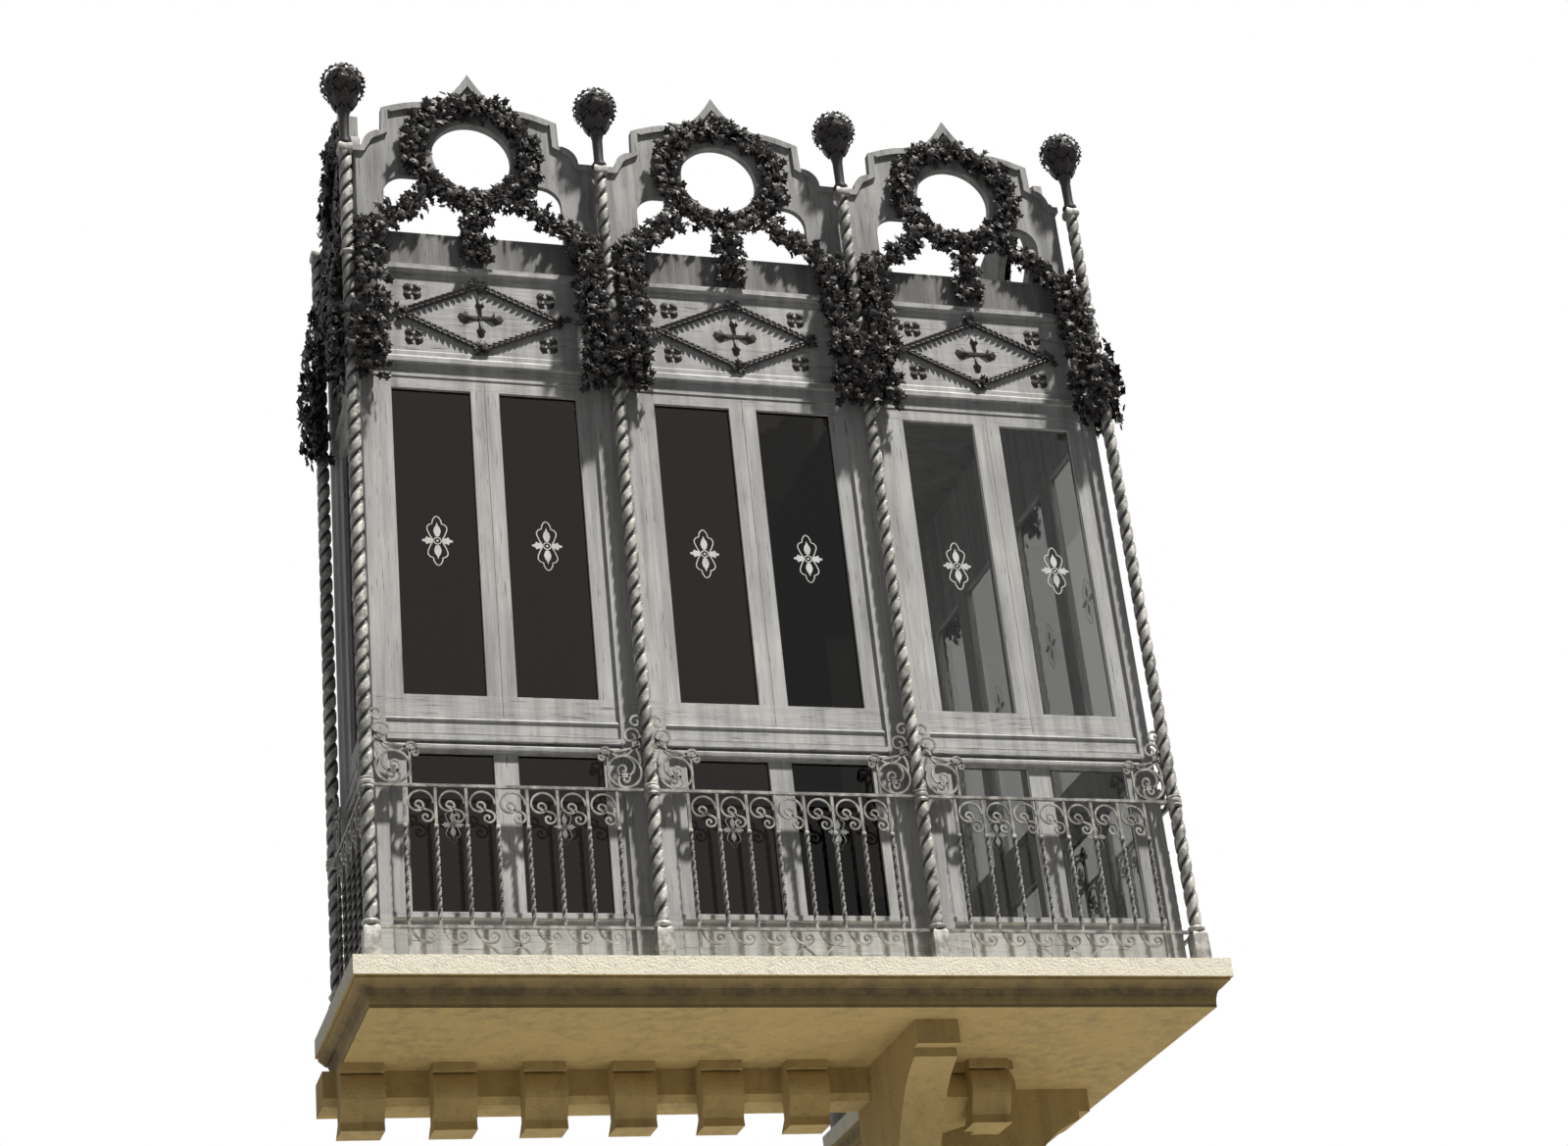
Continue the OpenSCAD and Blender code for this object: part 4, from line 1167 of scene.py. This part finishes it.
class BALCONY_OT_scroll_rings(bpy.types.Operator):
    """Bends the ring ornaments over the handrail and the scrolls that climb the columns"""

    bl_idname = "balcony.scroll_rings"
    bl_label = "Scroll rings"

    # Headings and arcs of the bars on the ring, with radii as shares of its own
    UPPER_CURL = (184, (0.62, 176), (0.34, 150), (0.20, 150), (0.12, 120))
    LOWER_CURL = (4, (0.40, 176), (0.24, 150), (0.14, 150))
    LEFT_HORN = (170, (0.75, -60), (0.38, -30), (0.24, 200), (0.16, 170))
    RIGHT_HORN = (10, (0.8, 50), (0.30, -200), (0.18, -150))
    EAR = (100, (1.3, -40), (0.45, 210), (0.25, 160))
    # Headings and arcs of the bars beside it, and where they start from the column and the handrail
    UPRIGHT_CURL = (90, (0.019, -190), (0.012, -150))
    S_BAR = (172, (0.90, -8), (0.037, -72), (0.30, -5), (0.034, -180), (0.024, -130), (0.015, -130))
    COLUMN_CURL = (97, (0.50, -7), (0.028, -180), (0.019, -130), (0.012, -120))
    UPRIGHT_START, S_START, COLUMN_START = (0.190, 0.147), (0.185, 0.168), (0.020, 0.262)

    def curls(self):
        """The bent bars in, on and beside the ring, drawn flat."""
        size = iron()
        r, w, top = size.ring_radius, size.scroll_bar, size.rail_top
        u, z = size.collar_radius + r, top + r
        upright, s_bar, column_curl = (bend((x, top + rise), shape) for (x, rise), shape in (
            (self.UPRIGHT_START, self.UPRIGHT_CURL), (self.S_START, self.S_BAR),
            (self.COLUMN_START, self.COLUMN_CURL)))
        return [bend((u, z + r - w / 2), self.UPPER_CURL, r),
                bend((u, z - r + w / 2), self.LOWER_CURL, r),
                bend((u, z + r - 0.4 * w), self.LEFT_HORN, r),
                bend((u + 0.2 * r, z + r - w), self.RIGHT_HORN, r),
                bend((u - 0.9 * r, z + 0.45 * r), self.EAR, r),
                [(self.UPRIGHT_START[0], top)] + upright, s_bar, column_curl]

    def bay(self, run, _, metal):
        size = iron()
        r, w = size.ring_radius, size.scroll_bar
        rim = circle(size.collar_radius + r, size.rail_top + r, r - w / 2, 40)
        ring = bars([rim], metal, w, w * 1.2, closed=True)
        curls = bars(self.curls(), metal, w)
        far_side = at(run, 0, 0) @ Matrix.Diagonal((-1, 1, 1, 1))
        return [(mesh, way @ INWARD) for way in (Matrix(), far_side) for mesh in (ring, curls)]

    def execute(self, context):
        metal = finish("Worn railing iron")
        piece_per_group("scroll_rings", "scroll_brackets", "wrought_iron", metal, self.bay, metal)
        return {"FINISHED"}


class BALCONY_OT_wreaths(bpy.types.Operator):
    """Winds a wreath of leaves and flowers round each opening of the crest"""

    bl_idname = "balcony.wreaths"
    bl_label = "Wreaths"

    DEPTH = 0.018  # of the middle of the leaves, in from the column line
    BUNCH = (0.36, 0.60)  # from the middle of the wreath down to the ends of the bunch under it
    BUNCH_SLOPE = 0.006
    HOOP_STEM, BUNCH_STEM = 0.018, 0.014  # from the middle of the leaves in to the strip behind them
    HOOP_POINTS = 48
    HOOP_STEMS = 4
    STRIP = (0.062, 0.010)  # width and thickness
    RING_SPREAD, RING_COPIES = (0.060, 0.026, 0.060), 11
    BUNCH_SPREAD, BUNCH_COPIES = (0.074, 0.026, 0.03), 12

    def bay(self, run, number, metal, shapes):
        foliage = leaves()
        mid, depth, level = run / 2, self.DEPTH, foliage.ring_level
        hoop = [(x, depth, z) for x, z in circle(mid, level, foliage.wreath_middle, self.HOOP_POINTS)]
        bunch = [(mid, depth, level - self.BUNCH[0]), (mid, depth + self.BUNCH_SLOPE, level - self.BUNCH[1])]
        part = self.HOOP_POINTS // self.HOOP_STEMS
        stems = [[(x, y + self.HOOP_STEM, z) for x, y, z in hoop[k * part:(k + 1) * part + 1]]
                 for k in range(self.HOOP_STEMS)]
        stems.append([(x, y + self.BUNCH_STEM, z) for x, y, z in bunch])
        seed = 100 * number
        return [(mesh, Matrix()) for mesh in (
            strewn_leaves([hoop], shapes, seed, self.RING_COPIES, self.RING_SPREAD, closed=True),
            strewn_leaves([bunch], shapes, seed + 50, self.BUNCH_COPIES, self.BUNCH_SPREAD),
            bars(stems, metal, *self.STRIP))]

    def execute(self, context):
        metal = finish("Dark sheet iron")
        shapes = shape_objects(ivy_leaf(), small_flower())
        piece_per_group("leaf_wreaths", "wreaths", "leaf_iron", metal, self.bay, metal, shapes)
        drop_shapes(shapes)
        return {"FINISHED"}


class BALCONY_OT_garlands(bpy.types.Operator):
    """Hangs the garlands from the wreaths to the columns and down beside them"""

    bl_idname = "balcony.garlands"
    bl_label = "Garlands"

    # Copies of a leaf at each point, their spread and the width of the stem
    SWAG = (11, (0.052, 0.028, 0.055), 0.030)
    DROP = (14, (0.072, 0.056, 0.03), 0.034)
    KNOT = (7, (0.070, 0.034, 0.04), 0.006)
    STEM_DEPTH = 0.012  # from the middle of the leaves in to the stem

    def paths(self, run):
        """Swag from the wreath, drop beside the column and knot over it, for both sides of a bay."""
        mid, top = run / 2, leaves().ring_level
        start = max(mid - 0.25, 0.18)
        swag = [(start, 0.020, top - 0.262), (0.7 * start + 0.05, 0.018, top - 0.345),
                (0.155, 0.010, top - 0.440), (0.100, 0, top - 0.560)]
        drop = [(0.102, -0.006, top - 0.48), (0.106, -0.034, top - 0.72), (0.102, -0.066, top - 0.95),
                (0.092, -0.030, top - 1.28)]
        knot = [(0.030, -0.066, top - 0.98), (0.020, -0.070, top - 1.20)]
        return [([(x if way > 0 else run - x, y, z) for x, y, z in path], make)
                for way in (1, -1)
                for path, make in ((swag, self.SWAG), (drop, self.DROP), (knot, self.KNOT))]

    def bay(self, run, number, metal, shapes):
        parts = []
        for k, (path, (copies, spread, width)) in enumerate(self.paths(run)):
            seed = 100 * number + 7 * k + 11
            parts.append((strewn_leaves([path], shapes, seed, copies, spread), Matrix()))
            stem = [(x, y + self.STEM_DEPTH, z) for x, y, z in path]
            parts.append((bars([stem], metal, width), Matrix()))
        return parts

    def execute(self, context):
        metal = finish("Dark sheet iron")
        shapes = shape_objects(ivy_leaf(), small_flower())
        piece_per_group("leaf_garlands", "garlands", "leaf_iron", metal, self.bay, metal, shapes)
        drop_shapes(shapes)
        return {"FINISHED"}


class BALCONY_OT_frieze_ornament(bpy.types.Operator):
    """Lays the lozenge of laurel, its end leaves, the cross and the rosettes on the frieze"""

    bl_idname = "balcony.frieze_ornament"
    bl_label = "Frieze ornament"

    EDGE_ROOM = 0.04  # between the post and the lozenge in a narrow bay
    FULL_HALF = 0.395  # half width that the whole ornament needs
    BRAID = {"spacing": 0.029, "leaf_size": 0.038, "splay": 0.34}
    TUFT = {"spacing": 0.012, "copies": 3, "spread": (0.030, 0.004, 0.030), "leaf_size": 0.024,
            "flower_size": 0.024, "flower_share": 0.3}
    CORD = (0.010, 0.008)  # width and thickness of the bar under the leaves
    BRAID_OUT, CORD_OUT, TUFT_OUT = 0.006, 0.003, 0.012  # from the face of the boards
    TIP = (0.012, 0.001)  # half the length and the rise of the line that a tuft is strewn along
    # Width, depth and length of a petal, and the radius of the boss on the petals
    CROSS_ALONG, CROSS_UP, CROSS_BOSS = (0.200, 0.120, 0.112), (0.125, 0.120, 0.112), 0.020
    ROSETTE, ROSETTE_BOSS = (0.150, 0.08, 0.052), 0.013
    ROSETTE_OUT, ROSETTE_RISE = 0.320, 0.125  # from the middle of the lozenge

    def petals(self, spot, petal, flower, turn, forms, boss):
        """Four petals of those forms in turn, the first turned by an angle, with a boss on them."""
        made = []
        for k in range(4):
            way = Matrix.Rotation(turn + k * math.pi / 2, 4, "Y")
            made.append((petal, spot @ way @ Matrix.Diagonal((*forms[k % len(forms)], 1))))
        return made + [(flower, spot @ Matrix.Scale(boss, 4))]

    def bay(self, run, number, metal, petal, shapes):
        plan, foliage = sizes(), leaves()
        laurel, leaf, flower = shapes
        mid, level, face = run / 2, foliage.frieze_level, plan.board_in
        share = min(1.0, (mid - plan.post_half - self.EDGE_ROOM) / self.FULL_HALF)
        w, h = foliage.lozenge_half * share, foliage.lozenge_rise
        left, top, right, low = (mid - w, level), (mid, level + h), (mid + w, level), (mid, level - h)
        sides = ((left, top), (right, top), (left, low), (right, low))
        braid, cord = ([[(x, face - out, z) for x, z in side] for side in sides]
                       for out in (self.BRAID_OUT, self.CORD_OUT))
        half, rise = self.TIP
        tips = [[(x - half, face - self.TUFT_OUT, z), (x + half, face - self.TUFT_OUT, z + rise)]
                for x, z in (left, top, right, low)]
        made = [grow("Leaf braid", path_mesh(braid), metal, leaf=laurel, **self.BRAID),
                bars(cord, metal, *self.CORD),
                strewn_leaves(tips, (leaf, flower), 100 * number + 80, **self.TUFT)]
        parts = [(mesh, Matrix()) for mesh in made]
        parts += self.petals(at(mid, face, level), petal, flower.data, 0.0,
                             (self.CROSS_UP, self.CROSS_ALONG), self.CROSS_BOSS)
        for sx in (-1, 1):
            for sz in (-1, 1):
                spot = at(mid + sx * self.ROSETTE_OUT * share, face, level + sz * self.ROSETTE_RISE)
                parts += self.petals(spot, petal, flower.data, math.pi / 4, (self.ROSETTE,),
                                     self.ROSETTE_BOSS)
        return parts

    def execute(self, context):
        metal = finish("Dark sheet iron")
        shapes = shape_objects(laurel_leaf(), ivy_leaf(), small_flower())
        piece_per_group("laurel_frieze", "frieze_ornament", "leaf_iron", metal, self.bay, metal,
                        long_petal(), shapes)
        drop_shapes(shapes)
        return {"FINISHED"}


class BALCONY_OT_etchings(bpy.types.Operator):
    """Draws the frosted ornament on each pane"""

    bl_idname = "balcony.etchings"
    bl_label = "Etched ornaments"

    # Halves and quarters of the drawing, as (across, up) points from its middle
    LINE = ((0, 0.126), (0.011, 0.119), (0.019, 0.104), (0.022, 0.087), (0.036, 0.082), (0.045, 0.070),
            (0.045, 0.056), (0.039, 0.040), (0.033, 0.025), (0.024, 0.012))
    FLAME = ((0, 0.020), (0.010, 0.026), (0.017, 0.048), (0.013, 0.066), (0.005, 0.078), (0, 0.094))
    SIDE = ((0.014, 0), (0.026, 0.015), (0.040, 0.014), (0.050, 0.020), (0.056, 0.008), (0.070, 0.004))
    HUB, DOT = 0.017, 0.006  # radii of the ring and the dot in the middle
    LINE_WIDTH = 0.0050
    THICKNESS = 0.0008
    IN_FRONT = 0.0003  # of the middle of the glass
    UPPER, LOWER = (2.030, 1.0), (0.650, 0.68)  # level and scale of the ornament

    def drawing(self):
        """Strokes of a pointed line, and filled flames above and below, leaves on either side and a dot."""
        signs = [(a, b) for a in (1, -1) for b in (1, -1)]
        strokes = [[(a * x, b * y) for x, y in self.LINE] for a, b in signs]
        strokes.append(circle(0, 0, self.HUB, 12) + [(self.HUB, 0)])
        flames = [[(x, b * y) for x, y in self.FLAME] + [(-x, b * y) for x, y in self.FLAME[-2:0:-1]]
                  for b in (1, -1)]
        sides = [[(a * x, y) for x, y in self.SIDE] + [(a * x, -y) for x, y in self.SIDE[:0:-1]]
                 for a in (1, -1)]
        return strokes, flames + sides + [circle(0, 0, self.DOT, 8)]

    def bay(self, run, _, drawn):
        plan = sizes()
        mid, edge = run / 2, plan.post_half + plan.stile
        parts = []
        for stile, (level, scale) in ((plan.meeting, self.UPPER), (plan.mullion_half, self.LOWER)):
            u = (edge + mid - stile) / 2
            parts += [(drawn, at(x, plan.glass_in - self.IN_FRONT, level) @ Matrix.Scale(scale, 4) @ INWARD)
                      for x in (u, run - u)]
        return parts

    def execute(self, context):
        frost = finish("Frosted etching")
        strokes, filled = self.drawing()
        meshes = [bars(strokes, frost, self.LINE_WIDTH, self.THICKNESS)]
        meshes += [sheet(points, self.THICKNESS) for points in filled]
        drawn = joined("drawn", [(mesh, Matrix()) for mesh in meshes])
        piece_per_group("etched_ornaments", None, "glass", frost, self.bay, drawn)
        return {"FINISHED"}


class BALCONY_OT_stage(bpy.types.Operator):
    """Sets the floor, the lights, the sky and the camera"""

    bl_idname = "balcony.stage"
    bl_label = "Stage"

    FLOOR = -5.46
    FLOOR_RADIUS = 5.5
    FLOOR_COLOUR = (0.62, 0.61, 0.58, 1)
    # Name, strength, angle in degrees, direction and tint
    LAMPS = (("key", 6.7, 3, (-0.95, 1.0, -2.75), (1.0, 0.97, 0.92)),
             ("fill", 0.12, 60, (0.8, 0.5, -0.1), (0.93, 0.96, 1.0)))
    SKY_LIGHT = 0.10  # strength on the object, where what is seen of the sky has 1
    EYE = (-3.72875, -11.86625, -3.86125)
    RIGHT = (0.9542, -0.2824, -0.0990)
    UP = (-0.0450, -0.4624, 0.8855)
    AHEAD = (0.2958, 0.8405, 0.4539)
    LENS = 64.16
    SENSOR = 36
    FARTHEST = 200

    def floor(self):
        rim = [(x, y, self.FLOOR) for x, y in circle(0, 0, self.FLOOR_RADIUS, 96)]
        mesh = plain_mesh("floor", rim, faces=[tuple(range(len(rim)))])
        mesh.materials.append(Finish("Pale floor", {"Base Color": self.FLOOR_COLOUR,
                                                    "Roughness": 0.9}).material)
        in_scene("floor", mesh)

    def lamp(self, name, strength, angle, direction, tint):
        data = bpy.data.lights.new(name, "SUN")
        data.energy, data.angle, data.color = strength, math.radians(angle), tint
        in_scene(name, data).rotation_euler = Vector(direction).to_track_quat("-Z", "Y").to_euler()

    def sky(self):
        """A white sky for the camera, the gloss and the glass, which lights the object less."""
        world = bpy.data.worlds.new("Studio")
        bpy.context.scene.world = world
        world.use_nodes = True
        w = Wiring(world.node_tree)
        background = world.node_tree.nodes["Background"]
        background.inputs["Color"].default_value = (1, 1, 1, 1)
        path = w.add("ShaderNodeLightPath").outputs
        seen = w.calc("MAXIMUM", path["Is Camera Ray"],
                      w.calc("MAXIMUM", path["Is Glossy Ray"], path["Is Transmission Ray"]))
        strength = w.plus(self.SKY_LIGHT, w.times(seen, 1.0 - self.SKY_LIGHT))
        world.node_tree.links.new(strength, background.inputs["Strength"])

    def camera(self):
        data = bpy.data.cameras.new("camera")
        data.sensor_width, data.lens, data.clip_end = self.SENSOR, self.LENS, self.FARTHEST
        made = in_scene("camera", data)
        back = [-a for a in self.AHEAD]
        made.matrix_world = Matrix(((*self.RIGHT, 0), (*self.UP, 0), (*back, 0), (*self.EYE, 1))).transposed()
        bpy.context.scene.camera = made

    def execute(self, context):
        context.scene.view_settings.view_transform = "Standard"
        self.floor()
        self.sky()
        for lamp in self.LAMPS:
            self.lamp(*lamp)
        self.camera()
        return {"FINISHED"}


STEPS = (BALCONY_OT_carpentry, BALCONY_OT_masonry, BALCONY_OT_panes, BALCONY_OT_columns, BALCONY_OT_finials,
         BALCONY_OT_railing, BALCONY_OT_scroll_rings, BALCONY_OT_wreaths, BALCONY_OT_garlands,
         BALCONY_OT_frieze_ornament, BALCONY_OT_etchings, BALCONY_OT_stage)
SETTINGS = {"balcony_sizes": BalconySizes, "balcony_iron": IronSizes, "balcony_leaves": LeafSizes,
            "balcony_colours": Colours}


class BALCONY_PT_panel(bpy.types.Panel):
    """Lists every step of the balcony, its sizes and its colours"""

    bl_idname = "BALCONY_PT_panel"
    bl_label = "Glazed balcony"
    bl_space_type = "VIEW_3D"
    bl_region_type = "UI"
    bl_category = "Balcony"

    def draw(self, context):
        for step in STEPS:
            self.layout.operator(step.bl_idname)
        for name in SETTINGS:
            group = getattr(context.scene, name)
            box = self.layout.box()
            for field in group.bl_rna.properties:
                if field.identifier not in ("rna_type", "name"):
                    box.prop(group, field.identifier)


def register():
    for kind in (*SETTINGS.values(), *STEPS, BALCONY_PT_panel):
        bpy.utils.register_class(kind)
    for name, kind in SETTINGS.items():
        setattr(bpy.types.Scene, name, PointerProperty(type=kind))


def unregister():
    for name in SETTINGS:
        delattr(bpy.types.Scene, name)
    for kind in (BALCONY_PT_panel, *STEPS, *SETTINGS.values()):
        bpy.utils.unregister_class(kind)


def main():
    register()
    for step in STEPS:
        group, name = step.bl_idname.split(".")
        if getattr(getattr(bpy.ops, group), name)() != {"FINISHED"}:
            raise RuntimeError(step.bl_label + " didn't finish")


if __name__ == "__main__":
    main()
